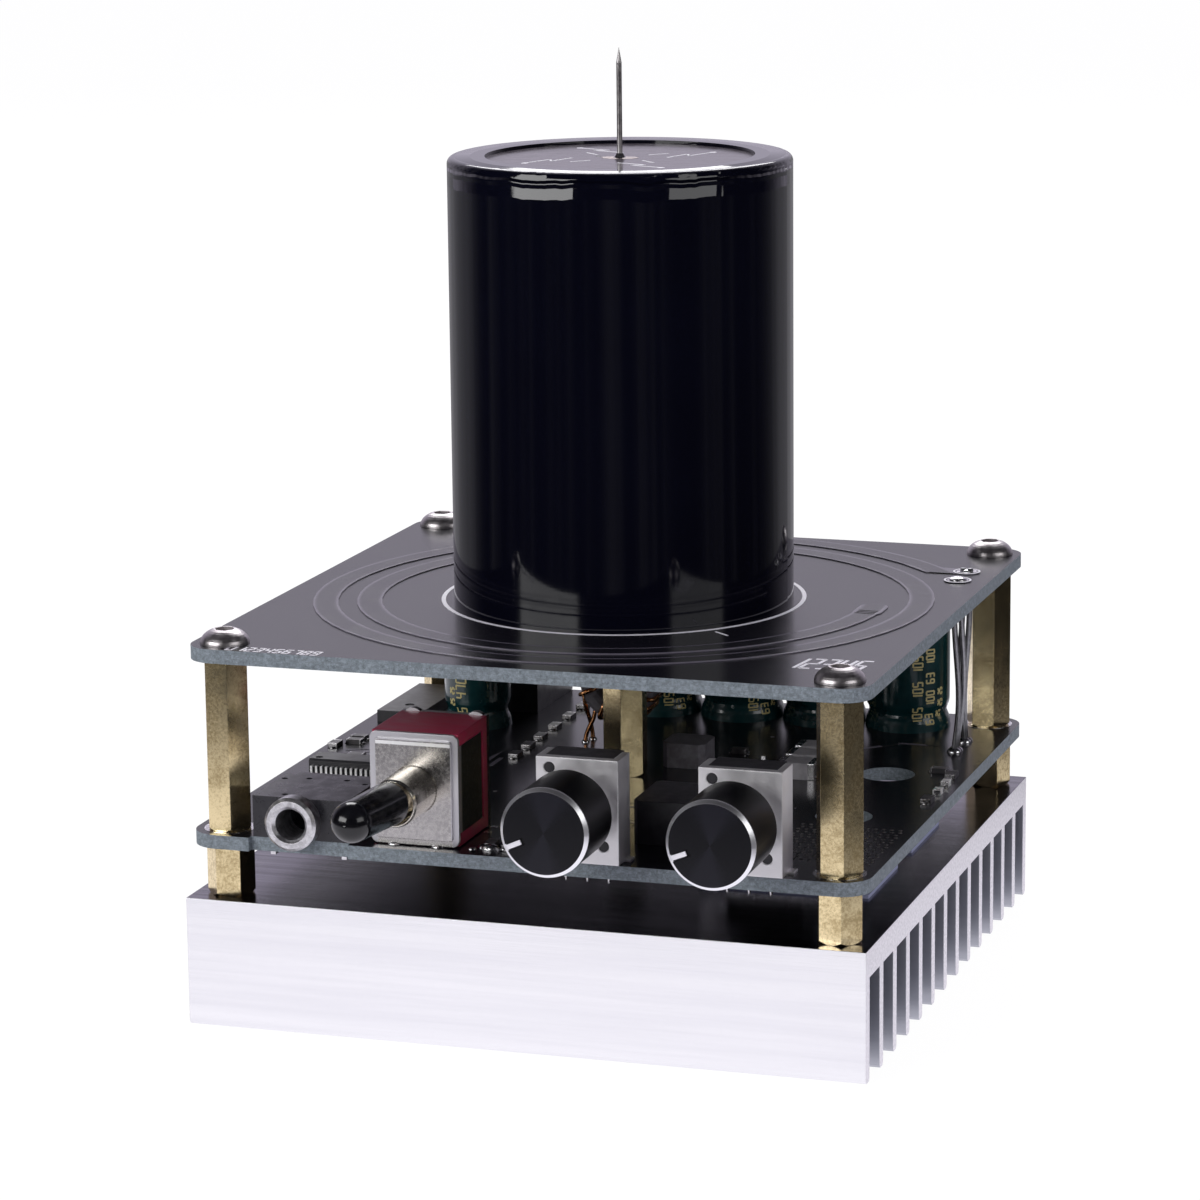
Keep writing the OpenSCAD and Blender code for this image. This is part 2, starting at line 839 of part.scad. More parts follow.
module coil_sleeve() {
    color("#0b0b16")
        translate([0, 0, z_coil])
            rotate_extrude()
                union() {
                    translate([sleeve_r - sleeve_t, 0])
                        square([sleeve_t, sleeve_h - rim_round]);
                    translate([lip_r, sleeve_h - lip_t])
                        square([sleeve_r - rim_round - lip_r, lip_t]);
                    intersection() {
                        translate([sleeve_r - rim_round, sleeve_h - rim_round])
                            difference() {
                                circle(rim_round);
                                translate([-rim_round, -rim_round])
                                    square([2 * rim_round - sleeve_t, 2 * rim_round - lip_t]);
                            }
                        translate([sleeve_r - rim_round, sleeve_h - rim_round])
                            square([rim_round, rim_round]);
                    }
                }
}

module base_disc() {
    color("#34333b")
        translate([0, 0, z_coil])
            difference() {
                cylinder(r = disc_seat_r - layer_gap, h = disc_t);
                translate([0, 0, -cut])
                    cylinder(r = thread_r + screw_gap, h = disc_t + 2 * cut);
            }
}

module top_disc() {
    color("#6f6a78")
        translate([0, 0, z_disc - disc_t])
            difference() {
                cylinder(r = top_disc_r, h = disc_t);
                translate([0, 0, -cut])
                    cylinder(r = needle_r + needle_hole_gap, h = disc_t + 2 * cut);
            }
}

module discharge_needle() {
    shaft = z_sleeve + needle_rise - needle_point - (z_disc - disc_t - needle_foot);
    color("#9a979c")
        translate([0, 0, z_disc - disc_t - needle_foot])
            rotate_extrude()
                polygon([[0, 0], [needle_r, 0], [needle_r, shaft], [0, shaft + needle_point]]);
}

// Audio jack

module at_jack() {
    translate([jack_x, front_y + jack_setback, z_board])
        children();
}

module at_jack_pins() {
    for (s = jack_pin_shares)
        translate([jack_x + s[0] * jack_w, front_y + jack_setback + s[1] * jack_d, 0])
            children();
}

module jack_body() {
    color("#1d1c22")
        difference() {
            at_jack()
                difference() {
                    translate([-jack_w / 2, 0, 0])
                        cube([jack_w, jack_d, jack_h]);
                    translate([jack_bore_off, jack_bore_l, jack_axis_h])
                        forward()
                            cylinder(r = jack_bore_r, h = jack_bore_l + cut);
                    translate([jack_bore_off, jack_barrel_l, jack_axis_h])
                        forward()
                            cylinder(r = jack_bore_r + jack_sleeve_t / 2 + layer_gap,
                                     h = jack_barrel_l + cut);
                    translate([-jack_w / 2 - cut, jack_d * (1 - jack_notch_share), jack_h / 2])
                        cube([jack_w * jack_notch_share + cut, jack_d, jack_h]);
                    for (s = jack_dimple_shares)
                        translate([s[0] * jack_w, s[1] * jack_d, jack_h - jack_dimple_depth])
                            cylinder(r = jack_dimple_r, h = jack_dimple_depth + cut);
                }
            at_jack_pins()
                translate([0, 0, z_board - cut])
                    block(jack_pin_w + 2 * pin_gap, jack_pin_d + 2 * pin_gap,
                          jack_pin_up + cut);
        }
}

module jack_barrel() {
    tube_r = jack_bore_r + jack_sleeve_t / 2;
    color("#b9b8bf")
        at_jack()
            translate([jack_bore_off, 0, jack_axis_h])
                forward()
                    rotate_extrude()
                        polygon([[jack_bore_r, -jack_barrel_l], [tube_r, -jack_barrel_l],
                                 [tube_r, 0], [jack_ring_r, 0],
                                 [jack_ring_r, jack_ring_l - jack_ring_bevel],
                                 [jack_ring_r - jack_ring_bevel, jack_ring_l],
                                 [jack_bore_r + jack_ring_bevel, jack_ring_l],
                                 [jack_bore_r, jack_ring_l - jack_ring_bevel]]);
}

module jack_contacts() {
    color("#c8c6cc")
        at_jack_pins()
            translate([0, 0, z_board - jack_pin_down])
                block(jack_pin_w, jack_pin_d, jack_pin_down + jack_pin_up);
}

// Toggle switch

module at_toggle() {
    translate([toggle_x, front_y + toggle_back, z_board])
        children();
}

module at_toggle_terminals() {
    for (i = [-1, 1], j = [0, 1])
        translate([toggle_x + i * terminal_pitch / 2,
                   front_y + toggle_back + plate_t + toggle_d / 4 + j * terminal_pitch, 0])
            children();
}

module at_toggle_feet() {
    for (i = [-1, 1])
        translate([toggle_x + i * toggle_foot_span / 2,
                   front_y + toggle_back + plate_t / 2, 0])
            children();
}

module toggle_body() {
    color("#7c1230")
        difference() {
            at_toggle()
                difference() {
                    translate([-toggle_w / 2, plate_t, toggle_lift])
                        cube([toggle_w, toggle_d, toggle_h]);
                    for (s = [-1, 1])
                        translate([s * (toggle_w / 2 - arm_t + cut / 2),
                                   plate_t + toggle_d * arm_d_share / 2,
                                   toggle_lift + toggle_h * (1 - arm_share) / 2])
                            block(cut, toggle_d * arm_d_share + cut, toggle_h * arm_share);
                    translate([-chamber_w / 2, plate_t - cut, bushing_h - chamber_h / 2])
                        cube([chamber_w, chamber_d + cut, chamber_h]);
                }
            at_toggle_terminals()
                translate([0, 0, z_board])
                    block(terminal_w + 2 * pin_gap, terminal_t + 2 * pin_gap,
                          terminal_up + pin_gap);
        }
}

module toggle_front_plate() {
    arm_h = toggle_h * arm_share;
    color("#b4b1b0")
        at_toggle() {
            difference() {
                union() {
                    translate([0, plate_t, toggle_lift + toggle_h / 2])
                        forward()
                            rounded_plate(flange_w, toggle_h, plate_t, plate_corner);
                    translate([0, 0, toggle_lift + toggle_h / 2])
                        forward()
                            rounded_plate(flange_w - 2 * panel_margin,
                                          toggle_h - 2 * panel_margin,
                                          panel_t, plate_corner / 2);
                    for (s = [-1, 1])
                        translate([s * (toggle_w / 2 - arm_t / 2),
                                   plate_t / 2 + toggle_d * arm_d_share / 2,
                                   toggle_lift + (toggle_h - arm_h) / 2 + layer_gap])
                            block(arm_t, toggle_d * arm_d_share + plate_t, arm_h - 2 * layer_gap);
                    for (i = [-1, 1])
                        translate([i * toggle_foot_span / 2, plate_t / 2, -board_t])
                            block(toggle_foot_w, plate_t, board_t + toggle_lift + plate_corner);
                }
                translate([0, plate_t + cut, bushing_h])
                    forward()
                        cylinder(r = bushing_r + layer_gap, h = plate_t + panel_t + 2 * cut);
            }
        }
}

module toggle_bushing() {
    color("#c2bcb2")
        at_toggle()
            translate([0, plate_t, bushing_h])
                forward()
                    rotate_extrude()
                        polygon([[bushing_bore_r, 0], [bushing_r, 0],
                                 [bushing_r, plate_t + bushing_l - bushing_bevel],
                                 [bushing_r - bushing_bevel / 2, plate_t + bushing_l],
                                 [bushing_r - bushing_rim, plate_t + bushing_l],
                                 [bushing_bore_r, plate_t + bushing_l - bushing_mouth]]);
}

module toggle_bracket() {
    rear = plate_t + toggle_d;
    top = toggle_lift + toggle_h;
    color("#9d9a9c")
        at_toggle()
            difference() {
                union() {
                    translate([0, rear + bracket_t / 2, 0])
                        block(toggle_w, bracket_t, top);
                    for (s = [-1, 1])
                        translate([s * (toggle_w / 2 - ear_r), rear, top - ear_r + ear_rise])
                            rotate([-90, 0, 0])
                                cylinder(r = ear_r, h = bracket_t);
                }
                translate([0, rear, -cut])
                    block(toggle_w / 2, 4 * bracket_t, toggle_h / 4 + cut);
            }
}

module toggle_terminals() {
    color("#c8c6cc")
        at_toggle_terminals()
            translate([0, 0, z_board - terminal_down])
                block(terminal_w, terminal_t, terminal_down + terminal_up);
}

module at_lever() {
    at_toggle()
        translate([0, pivot_y - bushing_l, bushing_h])
            rotate([90 - lever_tilt, 0, 0])
                children();
}

module toggle_lever() {
    color("#b9b4ac")
        at_lever()
            union() {
                sphere(r = bushing_bore_r - pivot_gap);
                cylinder(r = lever_r, h = cap_start + cap_bore_l);
                rotate([180, 0, 0])
                    cylinder(r = paddle_r, h = paddle_l);
            }
}

module toggle_cap() {
    color("#0c0c0e")
        at_lever()
            difference() {
                union() {
                    rotate_extrude()
                        polygon([[0, cap_start], [cap_neck_r, cap_start],
                                 [cap_r + cap_flare, cap_start + cap_shoulder],
                                 [cap_r, lever_l - cap_r], [cap_r, lever_l], [0, lever_l]]);
                    translate([0, 0, lever_l])
                        sphere(r = cap_r);
                }
                translate([0, 0, cap_start - cut])
                    cylinder(r = lever_r + layer_gap, h = cap_bore_l + cut + layer_gap);
            }
}

// Potentiometers and knobs; side is 0 for the left one and 1 for the right one

module at_pot(side) {
    translate([pot_xs[side], front_y, z_board])
        children();
}

module at_pot_pins() {
    for (side = [0, 1], i = [-1:1])
        translate([pot_xs[side] + i * pot_pin_pitch, front_y + pot_pin_y, 0])
            children();
}

module pot_frame(side) {
    color("#b7b5b6")
        at_pot(side)
            difference() {
                union() {
                    translate([-pot_w / 2, 0, 0])
                        cube([pot_w, pot_plate_t, pot_h]);
                    for (s = [-1, 1])
                        translate([s * (pot_w - pot_cheek_t) / 2, pot_frame_d / 2, 0])
                            block(pot_cheek_t, pot_frame_d, pot_h);
                    for (s = [-1, 1])
                        translate([s * (pot_w + lug_out) / 2, pot_frame_d - lug_w, 0])
                            block(lug_out, lug_w, lug_t);
                    translate([0, 0, shaft_h])
                        forward()
                            cylinder(r = boss_r, h = boss_l);
                }
                translate([0, pot_plate_t + cut, shaft_h])
                    forward()
                        cylinder(r = shaft_r + running_gap, h = pot_plate_t + boss_l + 2 * cut);
                for (p = stake_places)
                    translate([p[0], pot_plate_t + cut, shaft_h + p[1]])
                        forward()
                            cylinder(r = stake_r + layer_gap, h = pot_plate_t + 2 * cut);
            }
}

module pot_case(side) {
    inner_w = pot_w - 2 * pot_cheek_t - 2 * pot_wall;
    color("#1b1a1f")
        at_pot(side)
            difference() {
                union() {
                    translate([-inner_w / 2, pot_plate_t, 0])
                        cube([inner_w, pot_d - pot_plate_t, pot_h]);
                    for (p = stake_places)
                        translate([p[0], pot_plate_t + pot_wall, shaft_h + p[1]])
                            forward()
                                cylinder(r = stake_r, h = pot_plate_t + pot_wall);
                }
                translate([0, pot_plate_t + rotor_pocket_d, shaft_h])
                    forward()
                        cylinder(r = rotor_pocket_r, h = rotor_pocket_d + cut);
                for (i = [-1:1])
                    translate([i * pot_pin_pitch, pot_pin_y, -cut])
                        cylinder(r = pot_pin_r + layer_gap, h = pot_pin_up + layer_gap + cut);
            }
}

module pot_pins(side) {
    color("#d0ced4")
        for (i = [-1:1])
            translate([pot_xs[side] + i * pot_pin_pitch, front_y + pot_pin_y,
                       z_board - pot_pin_down])
                rotate_extrude()
                    polygon([[0, 0], [pot_pin_r / 3, 0], [pot_pin_r, 2 * pot_pin_r],
                             [pot_pin_r, pot_pin_down + pot_pin_up], [0, pot_pin_down + pot_pin_up]]);
}

module pot_shaft(side) {
    color("#a9a7ab")
        at_pot(side)
            translate([0, pot_plate_t + rotor_gap + rotor_t, shaft_h])
                forward() {
                    cylinder(r = rotor_r, h = rotor_t);
                    cylinder(r = shaft_r,
                             h = rotor_t + rotor_gap + pot_plate_t + knob_gap + knob_bore_l);
                }
}

module knob(side) {
    color("#141317")
        at_pot(side)
            translate([0, -knob_gap, shaft_h])
                forward()
                    difference() {
                        rotate_extrude()
                            polygon([[0, 0], [knob_r - knob_chamfer / 2, 0],
                                     [knob_r, knob_chamfer / 2], [knob_r, knob_l - knob_chamfer],
                                     [knob_r - knob_chamfer, knob_l], [0, knob_l]]);
                        translate([0, 0, -cut])
                            cylinder(r = knob_hollow_r, h = knob_hollow_l + cut);
                        cylinder(r = shaft_r + layer_gap, h = knob_bore_l + layer_gap);
                        rotate([0, 0, pointers[side]])
                            translate([knob_r - pointer_l, -pointer_w / 2, knob_l - pointer_depth])
                                cube([pointer_l + cut, pointer_w, pointer_depth + cut]);
                    }
}

// Capacitors; number 4 is the small one

function can_place(i) = i < 4 ? [can_x + i * can_pitch, can_y] : [small_can_x, small_can_y];
function can_radius(i) = i < 4 ? can_r : small_can_r;
function can_height(i) = i < 4 ? can_h : small_can_h;
function groove(z) = groove_depth * exp(-pow((z - groove_h) / groove_w, 2));

module at_capacitor(i) {
    translate([can_place(i)[0], can_place(i)[1], z_board])
        children();
}

module at_capacitor_leads() {
    for (i = [0:4], s = [-1, 1])
        translate([can_place(i)[0] + s * can_lead_share * can_radius(i) / 2, can_place(i)[1], 0])
            children();
}

module capacitor(i) {
    r = can_radius(i) + layer_gap;
    h = can_height(i);
    zs = [for (k = [0:12]) k * 2 * groove_h / 12];
    color("#0c2b2c")
        at_capacitor(i)
            rotate_extrude()
                polygon(concat(
                    [for (z = zs) [r + can_sleeve_t - groove(z) + skirt_flare * exp(-z / groove_w),
                                   z]],
                    [[r + can_sleeve_t, h - can_sleeve_t], [r, h],
                     [r - sleeve_fold, h], [r - sleeve_fold, h - can_sleeve_t],
                     [r, h - can_sleeve_t]],
                    [for (k = [12:-1:0]) [r - groove(zs[k]), zs[k]]]));
}

module capacitor_cans() {
    color("#b8b8bc")
        for (i = [0:4])
            let (r = can_radius(i), h = can_height(i), top = h - can_sleeve_t - layer_gap)
                at_capacitor(i)
                    difference() {
                        rotate_extrude()
                            polygon(concat([[0, can_lift]],
                                           [for (k = [0:8]) let (z = can_lift + k * groove_h / 4)
                                                [r - groove(z), z]],
                                           [[r, top - groove_w / 2], [r - groove_w / 2, top],
                                            [0, top]]));
                        for (s = [-1, 1])
                            translate([s * can_lead_share * r / 2, 0, can_lift - cut])
                                cylinder(r = can_lead_r + layer_gap, h = cut + can_lift);
                    }
}

module capacitor_leads() {
    color("#c8c6cc")
        at_capacitor_leads()
            translate([0, 0, z_low - lead_drop])
                cylinder(r = can_lead_r, h = lead_drop + board_t + 2 * can_lift, $fn = 24);
}

// Toroid: a chamfered ring core standing on edge, and one unbroken copper tube wound round it

core_a = (toroid_r - toroid_hole_r) / 2;
core_mid = (toroid_r + toroid_hole_r) / 2;
wind_a = core_a + core_gap + copper_r;
wind_b = toroid_w / 2 + core_gap + copper_r;

function squared(c) = sign(c) * pow(abs(c), corner_power);
function toroid_point(phi, rho, y) =
    [toroid_x + rho * cos(phi), toroid_y + y, z_board + toroid_h + rho * sin(phi)];
function wound_point(k) =
    let (share = k / (copper_loops * loop_rings), psi = 360 * k / loop_rings)
        toroid_point(wind_from + wind_span * share, core_mid + wind_a * squared(cos(psi)),
                     wind_b * squared(sin(psi)));

wound = [for (k = [0:copper_loops * loop_rings]) wound_point(k)];
wound_last = wound[len(wound) - 1];
copper_bottom = z_low - copper_drop;

function lead_points(foot, top) = concat(
    [[foot[0], foot[1], copper_bottom], [foot[0], foot[1], z_board + copper_rise]],
    [for (share = rise_shares)
        let (ease = share * share * (3 - 2 * share), low = z_board + copper_rise)
            [foot[0] + (top[0] - foot[0]) * ease, foot[1] + (top[1] - foot[1]) * ease,
             low + (top[2] - low) * share]]);

copper_path = concat(lead_points(copper_feet[0], wound[0]), wound,
                     [for (i = [3:-1:0]) lead_points(copper_feet[1], wound_last)[i]]);

half_loop = loop_rings / 2;
least_gap = min([for (i = [0:len(copper_path) - half_loop - 1],
                      j = [i + half_loop:len(copper_path) - 1])
                     norm(copper_path[i] - copper_path[j])]) - 2 * copper_r;

module toroid_core() {
    color("#5b5a5e")
        translate([toroid_x, toroid_y, z_board + toroid_h])
            forward()
                rotate_extrude()
                    translate([core_mid, 0])
                        polygon([[-core_a, -toroid_w / 2 + core_chamfer],
                                 [-core_a + core_chamfer, -toroid_w / 2],
                                 [core_a - core_chamfer, -toroid_w / 2],
                                 [core_a, -toroid_w / 2 + core_chamfer],
                                 [core_a, toroid_w / 2 - core_chamfer],
                                 [core_a - core_chamfer, toroid_w / 2],
                                 [-core_a + core_chamfer, toroid_w / 2],
                                 [-core_a, toroid_w / 2 - core_chamfer]]);
}

module toroid_winding() {
    echo(least_gap_in_winding = least_gap);
    color("#c8703a")
        swept_tube(copper_path, copper_r, wire_sides, [1, 0, 0]);
}

// Inductors, chips and small parts

module bevelled_block(w, h, bevel) {
    linear_extrude(h)
        polygon([[-w / 2, -w / 2 + bevel], [-w / 2 + bevel, -w / 2], [w / 2 - bevel, -w / 2],
                 [w / 2, -w / 2 + bevel], [w / 2, w / 2 - bevel], [w / 2 - bevel, w / 2],
                 [-w / 2 + bevel, w / 2], [-w / 2, w / 2 - bevel]]);
}

module power_inductor() {
    color("#55525c")
        translate([inductor_shares[0] * board_w, inductor_shares[1] * board_w, z_board])
            bevelled_block(inductor_w, inductor_h, inductor_bevel);
}

module shielded_inductor() {
    color("#17161b")
        translate([block_shares[0] * board_w, block_shares[1] * board_w, z_board])
            bevelled_block(block_w, block_h, block_bevel);
}

module at_chip() {
    translate([chip_shares[0] * board_w, chip_shares[1] * board_w, z_board])
        children();
}

module control_chip() {
    color("#1f1e24")
        at_chip()
            translate([0, 0, chip_lift])
                difference() {
                    rotate([90, 0, 90])
                        linear_extrude(chip_l, center = true)
                            polygon([[-chip_d / 2, 0], [chip_d / 2, 0],
                                     [chip_d / 2, chip_h - chip_bevel],
                                     [chip_d / 2 - chip_bevel, chip_h],
                                     [-chip_d / 2 + chip_bevel, chip_h],
                                     [-chip_d / 2, chip_h - chip_bevel]]);
                    translate([chip_dimple_in - chip_l / 2, chip_dimple_in - chip_d / 2,
                               chip_h - chip_margin])
                        cylinder(r = chip_dimple_r, h = chip_margin + cut, $fn = 24);
                }
}

module control_chip_legs() {
    knee = chip_lift + chip_h / 2;
    color("#c8c6cc")
        at_chip()
            for (s = [-1, 1], i = [0:leg_count - 1])
                translate([(i - (leg_count - 1) / 2) * leg_pitch, 0, 0]) {
                    translate([0, s * (chip_d / 2 + leg_foot / 2), knee - leg_t / 2])
                        block(leg_w, leg_foot, leg_t);
                    translate([0, s * (chip_d / 2 + leg_foot - leg_t / 2), 0])
                        block(leg_w, leg_t, knee + leg_t / 2);
                    translate([0, s * (chip_d / 2 + leg_out - (leg_out - leg_foot + leg_t) / 2), 0])
                        block(leg_w, leg_out - leg_foot + leg_t, leg_t);
                }
}

module power_chip() {
    color("#202026")
        translate([power_chip_x, power_chip_y, z_board])
            difference() {
                block(power_chip_w, power_chip_l, power_chip_h);
                translate([0, -power_chip_l / 4, power_chip_h - chip_margin])
                    cylinder(r = power_chip_dimple_r, h = chip_margin + cut, $fn = 24);
            }
}

module ceramic_capacitors() {
    color("#8b8890")
        for (i = [0:ceramic_count - 1])
            translate([ceramic_shares[0] * board_w,
                       ceramic_shares[1] * board_w + (i - (ceramic_count - 1) / 2) * ceramic_pitch,
                       z_board])
                block(ceramic_l, ceramic_w, ceramic_h);
}

module chip_parts() {
    color("#3a383e")
        for (p = chip_part_places)
            translate([p[0], p[1], z_board])
                rotate([0, 0, quarter_turn * p[2]])
                    block(chip_part_l, chip_part_w, chip_part_h);
}

module status_lights() {
    color("#8fd8a8")
        for (s = light_shares)
            translate([s[0] * board_w, s[1] * board_w, z_board])
                block(light_w, light_l, light_h);
}

// Power inlet, with its mouth towards +Y

module at_inlet() {
    translate([inlet_x, back_y + inlet_overhang - inlet_d, z_board])
        children();
}

module at_inlet_tabs() {
    for (s = inlet_tab_back_shares)
        translate([inlet_x, back_y + inlet_overhang - inlet_d + s * inlet_d + inlet_tab_t, 0])
            children();
}

module inlet_body() {
    wall = (inlet_w - 2 * inlet_r) / 2;
    color("#19181c")
        difference() {
            at_inlet()
                difference() {
                    union() {
                        translate([-inlet_w / 2, inlet_d - inlet_face_d, 0])
                            cube([inlet_w, inlet_face_d, inlet_h]);
                        translate([-inlet_w / 2, 0, 0])
                            cube([inlet_w, inlet_d - inlet_face_d, inlet_axis_h]);
                        translate([0, inlet_d - inlet_face_d, inlet_axis_h])
                            forward()
                                cylinder(r = inlet_w / 2, h = inlet_d - inlet_face_d);
                    }
                    translate([0, inlet_d + cut, inlet_axis_h])
                        forward()
                            cylinder(r = inlet_r, h = inlet_hole_l + cut);
                    translate([0, inlet_d, inlet_axis_h])
                        forward()
                            cylinder(r = inlet_pin_r + layer_gap, h = inlet_hole_l + wall);
                }
            at_inlet_tabs()
                translate([0, 0, z_board - cut])
                    block(inlet_tab_w + 2 * pin_gap, inlet_tab_t + 2 * pin_gap,
                          cut + inlet_tab_t + pin_gap);
        }
}

module inlet_contacts() {
    wall = (inlet_w - 2 * inlet_r) / 2;
    color("#bfbdc2") {
        at_inlet()
            translate([0, inlet_d - inlet_pin_back, inlet_axis_h])
                forward()
                    cylinder(r = inlet_pin_r, h = inlet_hole_l + wall - inlet_pin_back);
        at_inlet_tabs()
            translate([0, 0, z_board - inlet_tab_down])
                block(inlet_tab_w, inlet_tab_t, inlet_tab_down + inlet_tab_t);
    }
}

// Power stage between the heatsink and the driver board

power_x = right_x - power_inset;
power_ys = [for (s = power_y_shares) s * board_w];
power_body_x = power_x + tab_end - tab_l + power_body_l / 2;
power_leg_z = sink_h + pad_t + tab_t + power_body_t / 2;
power_leg_x = power_x + tab_end - tab_l - power_leg_out;

module at_power_screws() {
    for (y = power_ys)
        translate([power_x, y, 0])
            children();
}

module at_power_legs() {
    for (y = power_ys, i = [-1:1])
        translate([power_leg_x + power_leg_t / 2, y + i * power_leg_pitch, 0])
            children();
}

module thermal_pads() {
    color("#5a7fc8")
        for (y = power_ys)
            translate([power_x + pad_edge - pad_l / 2, y, sink_h])
                difference() {
                    block(pad_l, pad_w, pad_t);
                    translate([pad_l / 2 - pad_edge, 0, -cut])
                        cylinder(r = tab_hole_r, h = pad_t + 2 * cut);
                }
}

module transistor_tabs() {
    color("#b0aeb2") {
        for (y = power_ys)
            translate([power_x + tab_end - tab_l / 2, y, sink_h + pad_t])
                difference() {
                    block(tab_l, power_w, tab_t);
                    translate([tab_l / 2 - tab_end, 0, -cut])
                        cylinder(r = tab_hole_r, h = tab_t + 2 * cut);
                }
        at_power_legs() {
            translate([power_leg_out / 2 - power_leg_t / 2, 0, power_leg_z])
                block(power_leg_out, power_leg_w, power_leg_t);
            translate([0, 0, power_leg_z])
                block(power_leg_t, power_leg_w, z_board + power_leg_rise - power_leg_z);
        }
    }
}

module power_transistors() {
    color("#18171b")
        for (y = power_ys)
            translate([power_body_x, y, sink_h + pad_t + tab_t])
                block(power_body_l, power_w, power_body_t);
}

module transistor_screws() {
    color("#4a4650")
        at_power_screws()
            translate([0, 0, sink_h + pad_t + tab_t])
                button_screw(power_screw_l, power_head_r, power_head_h);
}

// Lead wires: two leads of two strands, each along its own eased route

function strand_offset(j, turn) = (j - 0.5) * strand_gap * [sin(turn), cos(turn)];
function strand_places() = [for (i = [0, 1], j = [0, 1]) lead_feet[i] + strand_offset(j, 0)];
function strand_route(i, j) =
    let (a = lead_feet[i], b = lead_pads[i], foot = a + strand_offset(j, 0),
         head = b + strand_offset(j, quarter_turn), low = z_low - strand_drop, high = z_coil + strand_top)
        concat(
            [[foot[0], foot[1], low], [foot[0], foot[1], z_board]],
            [for (s = strand_shares)
                let (ease = s * s * (3 - 2 * s), swell = pow(sin(180 * pow(s, bow_skew)), 2),
                     p = a + (b - a) * ease + strand_bows[i] * swell
                     + strand_offset(j, quarter_turn * ease))
                    [p[0], p[1], z_board + (z_coil_low - z_board) * s]],
            [[head[0], head[1], z_coil_low], [head[0], head[1], high]]);

module lead_wires() {
    color("#b7b5bb")
        for (i = [0, 1], j = [0, 1])
            swept_tube(strand_route(i, j), strand_r, strand_sides, [1, 0, 0]);
}

// Solder round the pins: below the board, at the lead wires' feet and at the needle

module solder_cone(pin_r) {
    rotate_extrude()
        polygon([[pin_r + solder_gap, 0], [solder_r, 0], [solder_r - solder_rim, solder_rim],
                 [pin_r + solder_rim, solder_h], [pin_r + solder_gap, solder_h]]);
}

module solder_joints() {
    color("#c4c2c8") {
        at_pot_pins()
            translate([0, 0, z_low])
                rotate([180, 0, 0])
                    solder_cone(pot_pin_r);
        at_capacitor_leads()
            translate([0, 0, z_low])
                rotate([180, 0, 0])
                    solder_cone(can_lead_r);
        for (p = copper_feet)
            translate([p[0], p[1], z_low])
                rotate([180, 0, 0])
                    solder_cone(copper_r);
        translate([0, 0, z_disc])
            solder_cone(needle_r);
    }
}

heatsink();
lower_posts();
upper_posts();
centre_post();
driver_board();
coil_board();
primary_track();
board_screws();
centre_screws();
coil_former();
secondary_winding();
coil_sleeve();
base_disc();
top_disc();
discharge_needle();
jack_body();
jack_barrel();
jack_contacts();
toggle_body();
toggle_front_plate();
toggle_bushing();
toggle_bracket();
toggle_terminals();
toggle_lever();
toggle_cap();
pot_frame(0);  // left_pot_frame
pot_case(0);  // left_pot_case
pot_pins(0);  // left_pot_pins
pot_shaft(0);  // left_pot_shaft
knob(0);  // left_knob
pot_frame(1);  // right_pot_frame
pot_case(1);  // right_pot_case
pot_pins(1);  // right_pot_pins
pot_shaft(1);  // right_pot_shaft
knob(1);  // right_knob
capacitor(0);  // capacitor_1
capacitor(1);  // capacitor_2
capacitor(2);  // capacitor_3
capacitor(3);  // capacitor_4
capacitor(4);  // small_capacitor
capacitor_cans();
capacitor_leads();
toroid_core();
toroid_winding();
power_inductor();
shielded_inductor();
control_chip();
control_chip_legs();
power_chip();
inlet_body();
inlet_contacts();
ceramic_capacitors();
chip_parts();
status_lights();
power_transistors();
transistor_tabs();
thermal_pads();
transistor_screws();
lead_wires();
solder_joints();
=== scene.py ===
"""Looks of a small desktop resonant transformer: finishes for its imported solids, and its fine pieces."""

import math

import bmesh
import bpy
import numpy as np
from mathutils import Matrix, Vector


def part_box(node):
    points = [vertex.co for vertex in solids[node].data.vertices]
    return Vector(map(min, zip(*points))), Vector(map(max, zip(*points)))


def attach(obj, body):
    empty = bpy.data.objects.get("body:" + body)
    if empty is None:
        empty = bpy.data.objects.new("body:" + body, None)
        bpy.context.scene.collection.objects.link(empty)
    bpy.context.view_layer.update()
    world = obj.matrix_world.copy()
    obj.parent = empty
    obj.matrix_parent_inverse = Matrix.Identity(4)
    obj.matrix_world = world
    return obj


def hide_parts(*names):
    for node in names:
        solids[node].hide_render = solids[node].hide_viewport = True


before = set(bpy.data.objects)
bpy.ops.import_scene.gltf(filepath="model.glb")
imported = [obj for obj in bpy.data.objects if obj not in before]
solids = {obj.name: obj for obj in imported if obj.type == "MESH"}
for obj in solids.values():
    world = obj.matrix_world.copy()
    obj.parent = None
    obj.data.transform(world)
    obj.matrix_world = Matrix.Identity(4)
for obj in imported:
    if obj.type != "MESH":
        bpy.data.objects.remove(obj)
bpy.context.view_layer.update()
MM = 0.001
WELD = 2e-6
bpy.context.scene.view_settings.view_transform = "Standard"


# ---- Mesh making: every shape is a grid of points worked out as whole arrays


